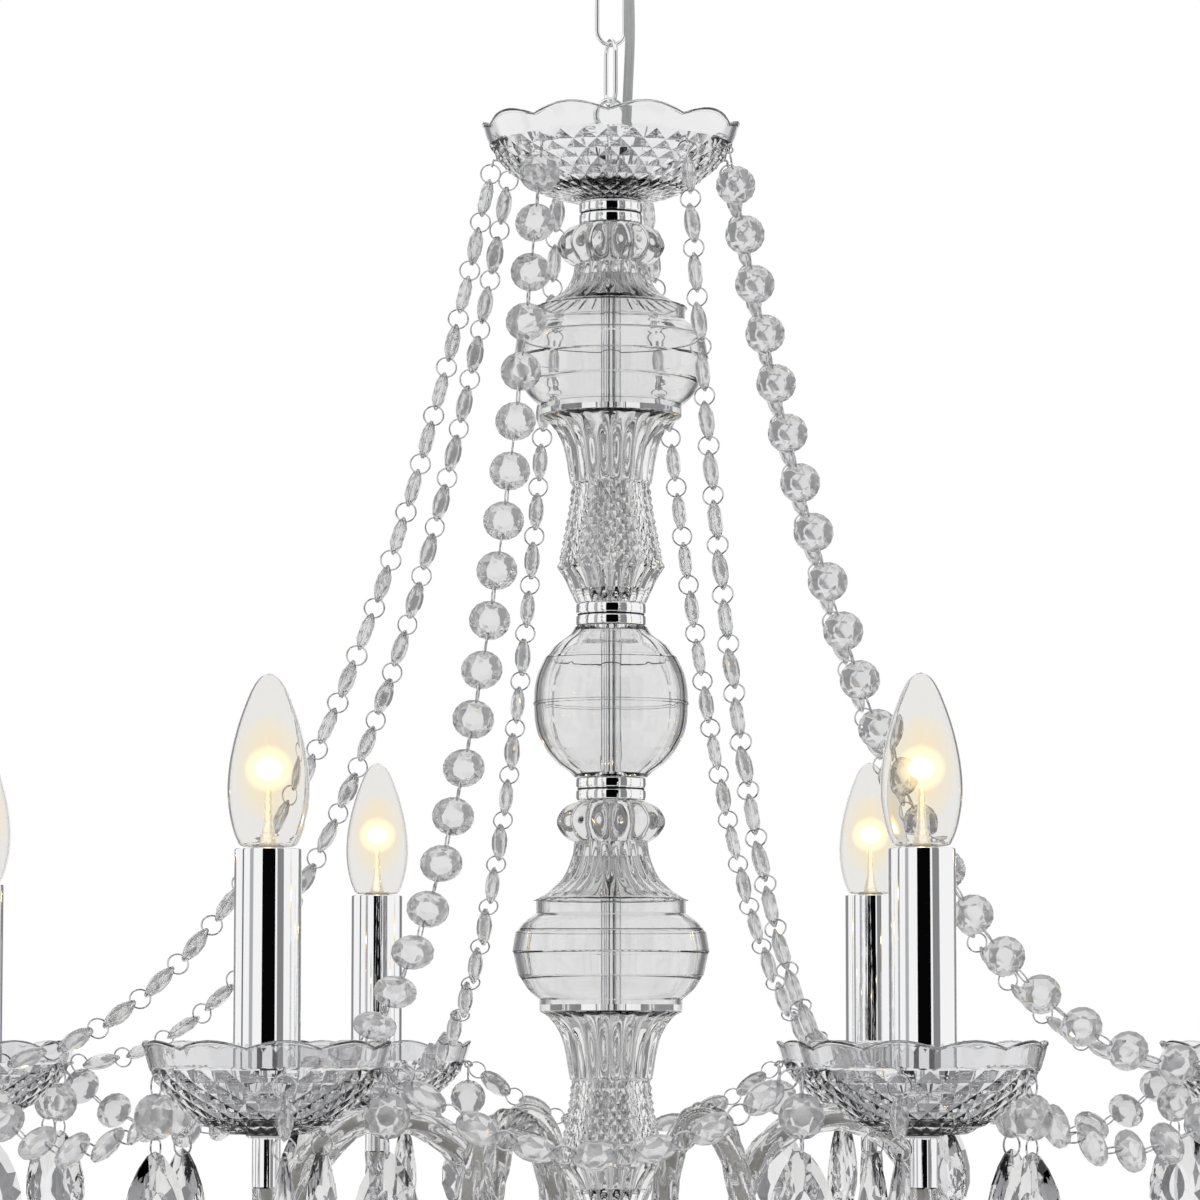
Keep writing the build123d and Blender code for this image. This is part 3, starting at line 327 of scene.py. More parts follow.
# painted shade: a dark metal band in the gap between two collar bands stands in for the shadow that falls
# there
GAP_SHADE_PAINT = Finish("painted_shade_in_collar_gap", "chrome", "2B2B2C", 0.5, metallic=1.0, wander=0.1)
# drawn and plated wire of rings and pins: bright, but duller than the collars
WIRE = Finish("nickel_plated_wire", "ring_wire", "C9C9CC", 0.12, metallic=1.0, wander=0.04,
              spacing=2.0)
# blown soda-lime glass of the candle bulb: so thin that it hardly bends the light
LAMP_GLASS = Finish("blown_lamp_glass", "bulb_glass", "F4F3F1", 0.0, transmission=1.0, ior=1.12)
# the lamp's pressed inner glass stem, lit from above by the wire
STEM_GLASS = Finish("lit_glass_stem", "bulb_glass", "FFFAF0", 0.08, transmission=0.9, ior=1.3,
                    bump=0.9, spacing=1.6, glow="FFF2D8", strength=0.2)
# nickel shell of the screw cap: soft grey shine
LAMP_CAP = Finish("nickel_lamp_cap", "bulb_glass", "BDBBB5", 0.22, metallic=1.0, wander=0.06,
                  spacing=2.0)
# hot tungsten wire: it outshines all that is near it
FILAMENT = Finish("hot_tungsten", "bulb_glass", "FFE2B0", 0.5, glow="FFE2B4", strength=14.0)
# clear PVC sheath over tinned copper: milky silver
CABLE = Finish("clear_pvc_over_tinned_copper", "cable_sleeve", "BABBBC", 0.15,
               transmission=0.35, ior=1.53, coat=0.4, bump=0.05, spacing=1.5)
# moulded thermoset of holders and terminal block: satin, ivory
MOULDED = Finish("moulded_thermoset", "holder_plastic", "E9E6DF", 0.5, bump=0.02, spacing=1.0,
                 wander=0.08)
# zinc-plated pressed steel: grey, with a patchy shine
ZINC = Finish("zinc_plated_steel", "strap_steel", "A9AAAC", 0.35, metallic=1.0, wander=0.1,
              spacing=3.0)
HALOS = (
    Halo("lamp_glow_core", "bulb_glass", "FFF6E8", 4.0, "FFFFFF", 0.33, 0.28),
    Halo("lamp_glow_middle", "bulb_glass", "FFEFD2", 0.5, "FFF8E8", 0.62, 0.6),
    Halo("lamp_glow_outer", "bulb_glass", "FFEFD0", 0.06, "FFF8E9", 0.92, 1.35),
)
KEPT_NODES = {
    "ceiling_strap": ZINC, "canopy_nipple": ZINC, "nipple_nuts": ZINC, "terminal_block": MOULDED,
    "stem_rod": CHROME, "stem_nuts": CHROME, "hub_plate": CHROME, "hub_cover": CHROME,
    "arm_ferrules": CHROME, "arm_wires": MOULDED, "lampholders": MOULDED, "dish_pins": WIRE,
}


class Shade(Enum):
    """How a mesh's faces meet."""

    FACETED = "faceted"
    SMOOTH = "smooth"


# ---- mesh helpers ---------------------------------------------------------------------


def piece(name: str, mesh: Mesh, finish: Finish | Halo, node: Optional[str] = None,
          body: Optional[str] = COLUMN, shade: Shade = Shade.SMOOTH) -> bpy.types.Object:
    """Make an object from points in millimetres.

    Args:
        name: the piece's name.
        mesh: points in millimetres and the vertex numbers of each face.
        finish: what it is made of.
        node: the CAD node that it stands for, or None.
        body: the CAD body that it rides on, or None.
        shade: flat facets, or smooth with sharp edges kept.

    Returns:
        The new object.
    """
    points, faces = mesh
    data = bpy.data.meshes.new(name)
    data.from_pydata((np.asarray(points, float) * MM).tolist(), [], [list(f) for f in faces])
    data.validate()
    # every face looks outward, or light would bend the wrong way at the glass
    shape = bmesh.new()
    shape.from_mesh(data)
    bmesh.ops.recalc_face_normals(shape, faces=shape.faces)
    shape.to_mesh(data)
    shape.free()
    for polygon in data.polygons:
        polygon.use_smooth = shade is Shade.SMOOTH
    if shade is Shade.SMOOTH:
        data.set_sharp_from_angle(angle=CRISP_EDGE)
    data.materials.append(finish.material())
    item = linked(name, data)
    if body:
        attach(item, body)
    if node:
        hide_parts(node)
    return item


@dataclass(frozen=True)
class Cut:
    """Rows of an outline that are cut into pyramids by two crossing spirals of grooves."""

    first: int
    last: int
    depth: float
    # grid steps across one pyramid
    steps: int

    def relief(self, row: int, sides: int) -> np.ndarray:
        """Change of radius along one row: nothing at a pyramid's tip, the depth in a groove.

        Args:
            row: number of the row in its outline.
            sides: how many columns the row has.

        Returns:
            The change at each column.
        """
        column = np.arange(sides)
        step = row - self.first
        u = ((column + step) % self.steps) / self.steps
        v = ((column - step) % self.steps) / self.steps
        return -2 * self.depth * np.maximum(np.abs(u - 0.5), np.abs(v - 0.5))

    def flatten(self, item: bpy.types.Object, sides: int) -> None:
        """Shade the faces of the cut rows flat.

        Args:
            item: the piece that was turned from the outline.
            sides: how many columns it has.
        """
        low = self.first * sides
        high = (self.last + 1) * sides
        for polygon in item.data.polygons:
            if low <= min(polygon.vertices) and max(polygon.vertices) < high:
                polygon.use_smooth = False


def grid_faces(rows: int, columns: int, wrap_rows: bool,
               cut: Optional[Cut] = None) -> list[tuple[int, ...]]:
    """Faces of a grid whose columns close on themselves.

    Args:
        rows: how many rows of points.
        columns: how many points in a row.
        wrap_rows: whether the last row joins the first.
        cut: the rows whose quads are split along the cuts' valleys.

    Returns:
        The vertex numbers of each face.
    """
    faces = []
    for i in range(rows if wrap_rows else rows - 1):
        k = (i + 1) % rows
        step = i - cut.first if cut and cut.first <= i < cut.last else None
        for j in range(columns):
            n = (j + 1) % columns
            a, b, c, d = (i * columns + j, k * columns + j, k * columns + n, i * columns + n)
            if step is not None and (step + j + 1) % cut.steps == 0:
                faces += [(a, b, d), (b, c, d)]
            elif step is not None and (j - step) % cut.steps == 0:
                faces += [(a, b, c), (a, c, d)]
            else:
                faces.append((a, b, c, d))
    return faces


def curve_through(points: Outline, steps: int) -> list[tuple[float, float]]:
    """Points along a smooth line through the given ones.

    Args:
        points: corners of the outline stretch.
        steps: how many points each span gets.

    Returns:
        The denser stretch, both ends included.
    """
    ends = [points[0], *points, points[-1]]
    made = []
    for a, b, c, d in zip(ends, ends[1:], ends[2:], ends[3:]):
        for i in range(steps):
            t = i / steps
            made.append(tuple(
                0.5 * (2 * q + (r - p) * t + (2 * p - 5 * q + 4 * r - s) * t * t
                       + (3 * q - p - 3 * r + s) * t ** 3)
                for p, q, r, s in zip(a, b, c, d)
            ))
    made.append(tuple(points[-1]))
    return made


def spaced(points: Outline, gap: float) -> list[tuple[float, float]]:
    """The same line with its points evenly spread along it.

    Args:
        points: the line.
        gap: about how far the points shall be apart.

    Returns:
        The new points, both ends included.
    """
    line = np.asarray(points, float)
    run = np.concatenate([[0.0], np.cumsum(np.linalg.norm(np.diff(line, axis=0), axis=1))])
    at = np.linspace(0, run[-1], max(2, round(run[-1] / gap) + 1))
    return list(zip(np.interp(at, run, line[:, 0]), np.interp(at, run, line[:, 1])))


def ribs(count: int, depth: float, angles: np.ndarray) -> np.ndarray:
    """Round ribs with sharp valleys.

    Args:
        count: how many ribs go round.
        depth: how deep the valleys are.
        angles: where round the piece.

    Returns:
        The change of radius at each angle.
    """
    return depth * (np.abs(np.cos(count * angles / 2)) - 1)


def lathe(outline: Outline, sides: int, relief: Optional[Relief] = None,
          cut: Optional[Cut] = None, middle: Sequence[float] = (0, 0, 0)) -> Mesh:
    """Closed outline turned about Z, with an uneven radius and height where relief says so.

    Args:
        outline: (radius, height) points of one closed loop.
        sides: how many columns.
        relief: the unevenness, or None for a plain turned piece.
        cut: the rows that are cut into pyramids.
        middle: where the axis stands.

    Returns:
        Points and faces.
    """
    angles = np.linspace(0, TURN, sides, endpoint=False)
    rows = []
    for row, (r, z) in enumerate(outline):
        more, rise = relief(angles, row, r, z) if relief else (0.0, 0.0)
        radius = r + more + np.zeros(sides)
        if cut and cut.first <= row <= cut.last:
            radius = radius + cut.relief(row, sides)
        rows.append(np.stack([
            radius * np.cos(angles) + middle[0], radius * np.sin(angles) + middle[1],
            z + rise + np.zeros(sides) + middle[2],
        ], axis=1))
    return np.concatenate(rows), grid_faces(len(rows), sides, True, cut)


def plain(radius: float) -> Section:
    """The section of a plain round wire."""
    return lambda along, angles: np.full(len(angles), radius)


def tube_along(path: np.ndarray, section: Section, sides: int, closed: bool = False,
               bore: float = 0.0, up: Vector = Vector((0, 1, 0))) -> Mesh:
    """Tube along a path, with a section that may change along it.

    Args:
        path: N by 3 points in millimetres.
        section: the radius along the path.
        sides: how many columns.
        closed: whether the path ends where it starts.
        bore: radius of the hole down the middle, or zero for a solid bar.
        up: a direction across the path's plane.

    Returns:
        Points and faces.
    """
    path = np.asarray(path, float)
    ahead = np.roll(path, -1, 0) - np.roll(path, 1, 0)
    if not closed:
        ahead[0] = path[1] - path[0]
        ahead[-1] = path[-1] - path[-2]
    ahead /= np.linalg.norm(ahead, axis=1)[:, None]
    angles = np.linspace(0, TURN, sides, endpoint=False)
    run = np.concatenate([[0.0], np.cumsum(np.linalg.norm(np.diff(path, axis=0), axis=1))])
    outside = []
    inside = []
    for here, way, along in zip(path, ahead, run):
        side = np.cross(np.array(up), way)
        side /= np.linalg.norm(side)
        spokes = np.cos(angles)[:, None] * side + np.sin(angles)[:, None] * np.cross(way, side)
        outside.append(here + section(along, angles)[:, None] * spokes)
        inside.append(here + bore * spokes)
    if bore:
        rows = outside + inside[::-1]
        return np.concatenate(rows), grid_faces(len(rows), sides, True)
    faces = grid_faces(len(outside), sides, closed)
    if not closed:
        faces.append(tuple(range(sides)))
        faces.append(tuple((len(outside) - 1) * sides + i for i in reversed(range(sides))))
    return np.concatenate(outside), faces


def hull(points: Sequence[tuple[float, float, float]]) -> Mesh:
    """Convex cut stone with these corners.

    Args:
        points: the corners.

    Returns:
        Points and faces, flat facets in one face each.
    """
    shape = bmesh.new()
    for corner in points:
        shape.verts.new(corner)
    bmesh.ops.convex_hull(shape, input=shape.verts)
    bmesh.ops.dissolve_limit(shape, angle_limit=SAME_FACET, verts=shape.verts,
                             edges=shape.edges)
    loose = [v for v in shape.verts if not v.link_faces]
    bmesh.ops.delete(shape, geom=loose, context="VERTS")
    shape.verts.index_update()
    made = np.array([v.co[:] for v in shape.verts])
    faces = [tuple(v.index for v in f.verts) for f in shape.faces]
    shape.free()
    return made, faces


def joined(parts: Sequence[Mesh]) -> Mesh:
    """Several meshes as one.

    Args:
        parts: the meshes.

    Returns:
        All their points and faces.
    """
    points = []
    faces = []
    count = 0
    for some, more in parts:
        points.append(some)
        faces.extend(tuple(i + count for i in f) for f in more)
        count += len(some)
    return np.concatenate(points), faces


def moved(mesh: Mesh, place: Matrix) -> Mesh:
    """Take a mesh to a place, both in millimetres.

    Args:
        mesh: points and faces.
        place: the turn and the shift.

    Returns:
        The moved points and the same faces.
    """
    turn = np.array(place.to_3x3())
    return mesh[0] @ turn.T + np.array(place.translation), mesh[1]


# ---- places read from the frame -------------------------------------------------------


@dataclass(frozen=True)
class Solid:
    """One solid of a CAD node: its middle and its long, wide and thin directions, in mm."""

    middle: np.ndarray
    long: np.ndarray
    wide: np.ndarray
    thin: np.ndarray
    low: np.ndarray
    high: np.ndarray
    length: float

    def place(self) -> Matrix:
        """Where the solid is.

        Returns:
            X along the solid's long way, Z the way it faces, origin at its middle.
        """
        made = Matrix.Identity(4)
        for column, way in enumerate((self.long, self.wide, self.thin)):
            for row in range(3):
                made[row][column] = way[row]
        made.translation = Vector(self.middle)
        return made

    def upright(self) -> Matrix:
        """Where the solid is, with its long way turned upward.

        Returns:
            Its place, turned half round where X would point down.
        """
        place = self.place()
        if place[2][0] < 0:
            place = place @ Matrix.Rotation(math.pi, 4, "Z")
        return place


def triangles(node: str) -> Mesh:
    """A CAD node's triangles, with double points merged.

    Args:
        node: the node's name.

    Returns:
        Points in millimetres, and the three corners of each triangle.
    """
    mesh = frame["nodes"][node].data
    points = np.empty(len(mesh.vertices) * 3)
    mesh.vertices.foreach_get("co", points)
    mesh.calc_loop_triangles()
    corners = np.empty(len(mesh.loop_triangles) * 3, np.int32)
    mesh.loop_triangles.foreach_get("vertices", corners)
    points, same = np.unique(np.round(points.reshape(-1, 3) / MM, 3), axis=0,
                             return_inverse=True)
    return points, same.reshape(-1)[corners.reshape(-1, 3)]


def islands(count: int, corners: np.ndarray) -> np.ndarray:
    """Tell the separate solids of a mesh apart.

    Args:
        count: how many points there are.
        corners: the three corners of each triangle.

    Returns:
        For each point, the lowest point number of the solid that it belongs to.
    """
    label = np.arange(count)
    while True:
        before = label.copy()
        low = label[corners].min(1)
        for k in range(3):
            np.minimum.at(label, corners[:, k], low)
        label = label[label]
        if (label == before).all():
            return label


def solids(node: str) -> list[Solid]:
    """The separate solids of a CAD node, with the axes of each one's surface.

    Args:
        node: the node's name.

    Returns:
        One entry for each solid.
    """
    points, corners = triangles(node)
    label = islands(len(points), corners)
    order = np.argsort(label, kind="stable")
    groups = np.split(order, np.flatnonzero(np.diff(label[order])) + 1)
    owner = label[corners[:, 0]]
    shuffle = np.argsort(owner, kind="stable")
    faces = np.split(corners[shuffle], np.flatnonzero(np.diff(owner[shuffle])) + 1)
    by_label = {label[group[0, 0]]: group for group in faces}
    found = []
    for group in groups:
        cloud = points[group]
        if label[group[0]] not in by_label:
            continue
        a, b, c = (points[by_label[label[group[0]]][:, k]] for k in range(3))
        area = np.linalg.norm(np.cross(b - a, c - a), axis=1)
        heart = (a + b + c) / 3
        centre = (heart * area[:, None]).sum(0) / area.sum()
        # second moments of each triangle, from its middle and its corners
        spread = sum(weight * np.einsum("n,ni,nj->ij", area, x - centre, x - centre)
                     for weight, x in ((9, heart), (1, a), (1, b), (1, c)))
        _, axes = np.linalg.eigh(spread)
        thin = axes[:, 0]
        long = axes[:, 2]
        axes = np.stack([thin, np.cross(thin, long), long], 1)
        reach = (cloud - centre) @ axes
        middle = centre + axes @ ((reach.max(0) + reach.min(0)) / 2)
        found.append(Solid(middle, long, axes[:, 1], thin, cloud.min(0), cloud.max(0),
                           reach[:, 2].max() - reach[:, 2].min()))
    return found


def heights(node: str) -> tuple[float, float]:
    """Lowest and highest point of a CAD node, in millimetres."""
    low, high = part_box(node)
    return low.z / MM, high.z / MM


def arm_end(number: int) -> tuple[float, float]:
    """Plan place of an arm's lamp, in millimetres."""
    low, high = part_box(f"bulb_{number}")
    return (low.x + high.x) / 2 / MM, (low.y + high.y) / 2 / MM


# ---- glass of the column --------------------------------------------------------------


@dataclass
class Dish:
    """Pressed glass dish with a plain petalled rim above a bowl cut in pyramids."""

    radius: float
    foot: float
    bore: float
    wall: float
    floor: float
    # how far the petals' tips stand above the notches between them
    rise: float
    # pyramids round the dish, the length of one along the wall and its depth
    count: int
    pitch: float = 11.5
    depth: float = 1.9
    steps: int = 4
    # the pyramids end and the petals begin at these shares of the height
    cut_to: float = 0.7
    petals_from: float = 0.6
    # how far the notches between the petals stand in from the tips
    notch: float = 1.6

    def make(self, name: str, node: str, place: Matrix) -> None:
        """Build the dish at its node's height.

        Args:
            name: the piece's name.
            node: the CAD node of the dish.
            place: where it is taken to.
        """
        low, high = heights(node)
        h = high - low
        r = self.radius - SHY
        w = self.wall - 2 * SHY
        # shares of the radius and of the height
        shares = [(self.foot / r, 0.0), (0.56, 0.14), (0.74, 0.33), (0.89, 0.55),
                  (0.955, 0.78), (1, 1)]
        outer = curve_through([(r * a, low + h * b) for a, b in shares], 12)
        top_cut = next(i for i, (_, z) in enumerate(outer) if z > low + self.cut_to * h)
        cut_part = spaced(outer[:top_cut], self.pitch / self.steps)
        rim = [p for p in outer[top_cut:] if p[1] < high - 1.2]
        lip = [(r, high - 1.1), (r - 0.25, high - 0.35), (r - 0.8, high), (r - w + 0.8, high),
               (r - w + 0.25, high - 0.35), (r - w, high - 1.1)]
        inner = [(x - self.wall + 2 * SHY, z) for x, z in reversed(outer[14:]) if z < high - 1.5]
        inner += curve_through([inner[-1], (self.foot + 3, low + self.floor + 1.2),
                                (self.foot * 0.7, low + self.floor)], 5)[1:]
        loop = [(self.bore, low), (self.foot - 1, low)] + cut_part + rim + lip + inner
        loop += [(self.bore, low + self.floor)]
        # the first cut row is the one after the foot's edge
        cut = Cut(3, 2 + len(cut_part) - 1, self.depth, self.steps)
        bottom = low + self.petals_from * h

        def relief(angles: np.ndarray, row: int, radius: float,
                   z: float) -> tuple[np.ndarray, np.ndarray]:
            """Petals that grow toward the rim.

            Args:
                angles: where round the dish.
                row: number of the outline's row; not used.
                radius: the row's radius; not used.
                z: the row's height.

            Returns:
                How far the rim stands in and down at each angle.
            """
            petal = ribs(PETALS, 1.0, angles)
            lift = max(0.0, (z - bottom) / (high - bottom))
            return self.notch * petal * lift, self.rise * petal * lift ** 1.8

        sides = self.count * self.steps
        mesh = moved(lathe(loop, sides, relief, cut), place)
        cut.flatten(piece(name, mesh, DISH_GLASS, node), sides)


@dataclass
class Column:
    """Everything turned or pressed that is threaded on the column's tube."""

    bore: float = 5.2
    wall: float = 3.0
    knop_height: float = 20.5
    knop_radius: float = 27.2
    knop_lobes: int = 16
    lobe_depth: float = 5.0
    neck: float = 18.5
    bell_radius: float = 39.0
    flutes: int = 24
    bowl_radius: float = 49.4
    bowl_mouth: float = 37.5
    bowl_foot: float = 35.7
    # the height that the bowl's bands were drawn for
    bowl_height: float = 54.5
    trumpet_height: float = 34.5
    waist: float = 21.0
    vase_radius: float = 27.0
    vase_foot: float = 17.5
    foot_flute_depth: float = 1.8
    # pyramids round the vase, and the length and depth of one
    vase_cuts: int = 24
    vase_pitch: float = 7.6
    vase_steps: int = 8
    cut_depth: float = 1.7
    ball_radius: float = 39.2
    ball_neck: float = 15.0
    ball_flats: int = 16
    flat_depth: float = 0.25
    # half the height of the dark band of painted shade in the gap between two collar bands
    half_shade_band: float = 0.38
    finial_sides: int = 14
    # left open between stacked glass, so that no two faces share a plane
    seam: float = 0.12

    def knop(self, node: str) -> None:
        """Lobed knop above a bell.

        Args:
            node: the CAD node of knop and bell.
        """
        high = heights(node)[1] - self.seam
        low = high + self.seam - self.knop_height
        r = self.knop_radius
        outer = curve_through([
            (self.neck, low), (0.86 * r, low + 3), (r, low + 0.5 * self.knop_height),
            (0.86 * r, high - 3), (17.2, high),
        ], 6)
        half = (high + low) / 2
        # the lobes run out this far above and below the middle
        reach = 0.52 * self.knop_height

        def relief(angles: np.ndarray, row: int, radius: float,
                   z: float) -> tuple[np.ndarray, float]:
            """Lobes that swell at half height."""
            depth = self.lobe_depth * max(0.0, 1 - abs(z - half) / reach) ** 0.5
            return ribs(self.knop_lobes, depth, angles) * (radius > self.bore), 0.0

        loop = [(self.bore, low)] + outer + [(self.bore, high)]
        piece(f"{node}_knop", lathe(loop, 192, relief), CRYSTAL, node)

    def bell(self, node: str) -> None:
        """Fluted bell under a knop.

        Args:
            node: the CAD node of knop and bell.
        """
        low, high = heights(node)
        low += self.seam
        high -= self.knop_height + self.seam
        h = high - low
        a = self.neck
        b = self.bell_radius
        outer = curve_through([
            (a, high), (a + 1.0, high - 0.25 * h), (a + 5.5, high - 0.6 * h),
            (a + 0.62 * (b - a), low + 0.16 * h), (b - 0.4, low + 0.4),
        ], 8)
        inner = [(x - self.wall, z) for x, z in reversed(outer[8:])]
        inner[0] = (b - 0.4 - self.wall, low)

        def relief(angles: np.ndarray, row: int, radius: float,
                   z: float) -> tuple[np.ndarray, float]:
            """Flutes that are deepest at half height."""
            depth = 0.6 + 1.6 * math.sin(math.pi * min(1, max(0, (high - z) / h)))
            return ribs(self.flutes, depth, angles) * (radius > self.bore), 0.0

        loop = outer + [(b - 0.4, low)] + inner + [(self.bore, inner[-1][1]), (self.bore, high)]
        piece(f"{node}_flutes", lathe(loop, 240, relief), CRYSTAL, node)

    def bowl(self, node: str) -> None:
        """Clear bowl with crisp bands.

        Args:
            node: the CAD node of the bowl.
        """
        low, high = heights(node)
        low += self.seam
        fall = (high - low) / self.bowl_height
        r = self.bowl_mouth
        big = self.bowl_radius - SHY
        foot = self.bowl_foot
        bands = [
            [(r, high), (r, high - 6 * fall)],
            curve_through([(r + 0.6, high - 6.4 * fall), (big - 5.5, high - 11 * fall),
                           (big - 2.4, high - 15 * fall)], 5),
            curve_through([(big - 1.6, high - 15.4 * fall), (big, high - 25.2 * fall)], 3),
            curve_through([(big - 0.5, high - 25.7 * fall), (big - 2.9, high - 37 * fall)], 3),
            curve_through([(big - 3.6, high - 37.4 * fall), (big - 8, high - 44 * fall),
                           (foot, high - 49 * fall)], 5),
            [(foot, low + 3.2), (foot, low)],
        ]
        outer = [p for band in bands for p in band]
        inner = [(x - self.wall, z) for x, z in outer if z > low + self.wall + 1]
        inner.append((foot - self.wall, low + self.wall))
        loop = outer + [(self.bore, low), (self.bore, low + self.wall)] + inner[::-1]
        piece(node, lathe(loop, 160), BLOWN, node)

    def vase(self, node: str) -> None:
        """Fluted trumpet over a vase cut in small pyramids, with a fluted foot.

        Args:
            node: the CAD node of the vase.
        """
        low, top = heights(node)
        waist = top - self.trumpet_height
        v = waist - low
        t = self.trumpet_height
        a = self.waist
        b = self.bowl_foot
        trumpet = [(b - 0.3, top)] + curve_through([
            (b - 0.3, top - 0.6), (a + 0.62 * (b - a), top - 0.12 * t),
            (a + 0.22 * (b - a), top - 0.42 * t), (a, waist + 3.5), (a - 0.4, waist + 0.6),
        ], 7)
        belly = spaced(curve_through([
            (a - 1.0, waist), (a + 0.6, waist - 0.22 * v), (a + 3.2, waist - 0.45 * v),
            (self.vase_radius - 0.2, waist - 0.68 * v),
        ], 8), self.vase_pitch / self.vase_steps)
        foot = curve_through([
            (self.vase_radius, waist - 0.7 * v), (0.86 * self.vase_radius, waist - 0.8 * v),
            (0.74 * self.vase_radius, low + 5), (self.vase_foot, low),
        ], 6)
        outer = trumpet + belly + foot
        inner = [(x - self.wall - 1, z) for x, z in outer[1::3] if low + 4 < z]
        inner[0] = (b - self.wall, top - 0.2)
        cut = Cut(len(trumpet), len(trumpet) + len(belly) - 1, self.cut_depth, self.vase_steps)

        def relief(angles: np.ndarray, row: int, radius: float,
                   z: float) -> tuple[np.ndarray, float]:
            """Flutes of the trumpet and of the foot, with none on the belly and inside.

            Args:
                angles: where round the vase.
                row: number of the outline's row.
                radius: the row's radius; not used.
                z: the row's height.

            Returns:
                The change of radius at each angle, and no change of height.
            """
            depth = 0.0
            if row < cut.first:
                depth = 0.4 + 1.9 * math.sin(math.pi * min(1, (top - z) / t))
            elif cut.last < row < len(outer):
                depth = self.foot_flute_depth
            return ribs(self.flutes, depth, angles), 0.0

        sides = self.vase_cuts * self.vase_steps
        loop = outer + [(self.bore, low), (self.bore, low + 3)] + inner[::-1]
        mesh = lathe(loop, sides, relief, cut)
        cut.flatten(piece(f"{node}_glass", mesh, VASE_GLASS, node), sides)

    def ball(self, node: str) -> None:
        """Hollow ball in two halves with a crisp band round each.

        Args:
            node: the CAD node of the ball.
        """
        low, high = heights(node)
        h = high - low
        r = self.ball_radius - 2 * SHY
        mouth = self.ball_neck + 3
        # shares of the height, and radii
        bands = (
            ((0, mouth), (0.035, 0.53 * r), (0.09, 0.68 * r), (0.17, 0.82 * r)),
            ((0.18, 0.83 * r), (0.28, 0.935 * r), (0.38, 0.98 * r), (0.48, 0.99 * r)),
            ((0.483, r), (0.497, r)),
            ((0.50, 0.99 * r), (0.60, 0.98 * r), (0.70, 0.935 * r), (0.80, 0.845 * r)),
            ((0.803, 0.825 * r), (0.88, 0.71 * r), (0.95, 0.53 * r), (1, mouth)),
        )
        outer = [(x, low + h * z) for band in bands for z, x in curve_through(band, 6)]
        middle = low + h / 2
        inner = [(x - self.wall * x / r, middle + (z - middle) * (1 - 2 * self.wall / h))
                 for x, z in outer]

        def relief(angles: np.ndarray, row: int, radius: float,
                   z: float) -> tuple[np.ndarray, float]:
            """Faint flats round the ball."""
            return ribs(self.ball_flats, self.flat_depth, angles) * (radius > self.bore), 0.0

        loop = [(self.bore, low)] + outer + [(self.bore, high), (self.bore, inner[-1][1])]
        loop += inner[::-1] + [(self.bore, inner[0][1])]
        piece(node, lathe(loop, 192, relief), BLOWN, node)

    def collars(self) -> None:
        """Chrome collars: two bands with rolled edges and a dark band of painted shade in the gap between
        them.
        """
        bands = []
        joints = []
        for ring in solids("collar_rings"):
            r = (ring.high[0] - ring.low[0]) / 2
            z = ring.low[2]
            h = (ring.high[2] - z) / 2
            for low in (z, z + h):
                edge = [(r - 1.5, low + 0.3), (r - 0.6, low + 0.4), (r - 0.15, low + 0.8),
                        (r, low + 1.4)]
                edge += [(x, 2 * low + h - y) for x, y in edge[::-1]]
                loop = [(self.bore, low + 0.02)] + edge + [(self.bore, low + h - 0.02)]
                bands.append(lathe(loop, 96))
            # the dark ring between the two bands is painted shade where the gap's shadow falls
            below = z + h - self.half_shade_band
            above = z + h + self.half_shade_band
            joints.append(lathe([(r - 2.6, below), (r - 0.7, below), (r - 0.7, above),
                                 (r - 2.6, above)], 96))
        piece("collar_rings_plated", joined(bands), CHROME, "collar_rings")
        # painted shade: dark rings that stand in for the shadow in the gaps between the bands
        piece("collar_gap_painted_shade", joined(joints), GAP_SHADE_PAINT, "collar_rings")

    def finial(self) -> None:
        """Cut ball at the bottom of the column."""
        low, high = heights("finial")
        r = (high - low) / 2
        sides = np.linspace(0, TURN, self.finial_sides, endpoint=False)
        corners = []
        for i, lift in enumerate((-0.98, -0.86, -0.6, -0.22, 0.22, 0.6, 0.86, 0.98)):
            ring = r * math.sqrt(1 - lift ** 2) * 0.99
            # each row of corners stands half a facet on from the last
            corners += [(ring * math.cos(a), ring * math.sin(a), (low + high) / 2 + r * lift)
                        for a in sides + i * 0.224]
        piece("finial_ball", hull(corners), CUT_GLASS, "finial", shade=Shade.FACETED)

    def dress(self) -> None:
        """Make every piece of the column."""
        for node in ("upper_bell", "lower_bell"):
            self.knop(node)
            self.bell(node)
        for node in ("upper_bowl", "lower_bowl"):
            self.bowl(node)
        for node in ("upper_vase", "lower_vase"):
            self.vase(node)
        self.ball("glass_ball")
        self.collars()
        self.finial()
        crown = Dish(radius=65.5, foot=17.0, bore=self.bore, wall=3.0, floor=3.0, rise=4.5,
                     count=30)
        bottom = Dish(radius=46.0, foot=18.0, bore=self.bore, wall=3.0, floor=3.0, rise=3.0,
                      count=25)
        crown.make("crown_dish_glass", "crown_dish", Matrix.Identity(4))
        bottom.make("bottom_dish_glass", "bottom_dish", Matrix.Identity(4))


# ---- arms and lamps -------------------------------------------------------------------


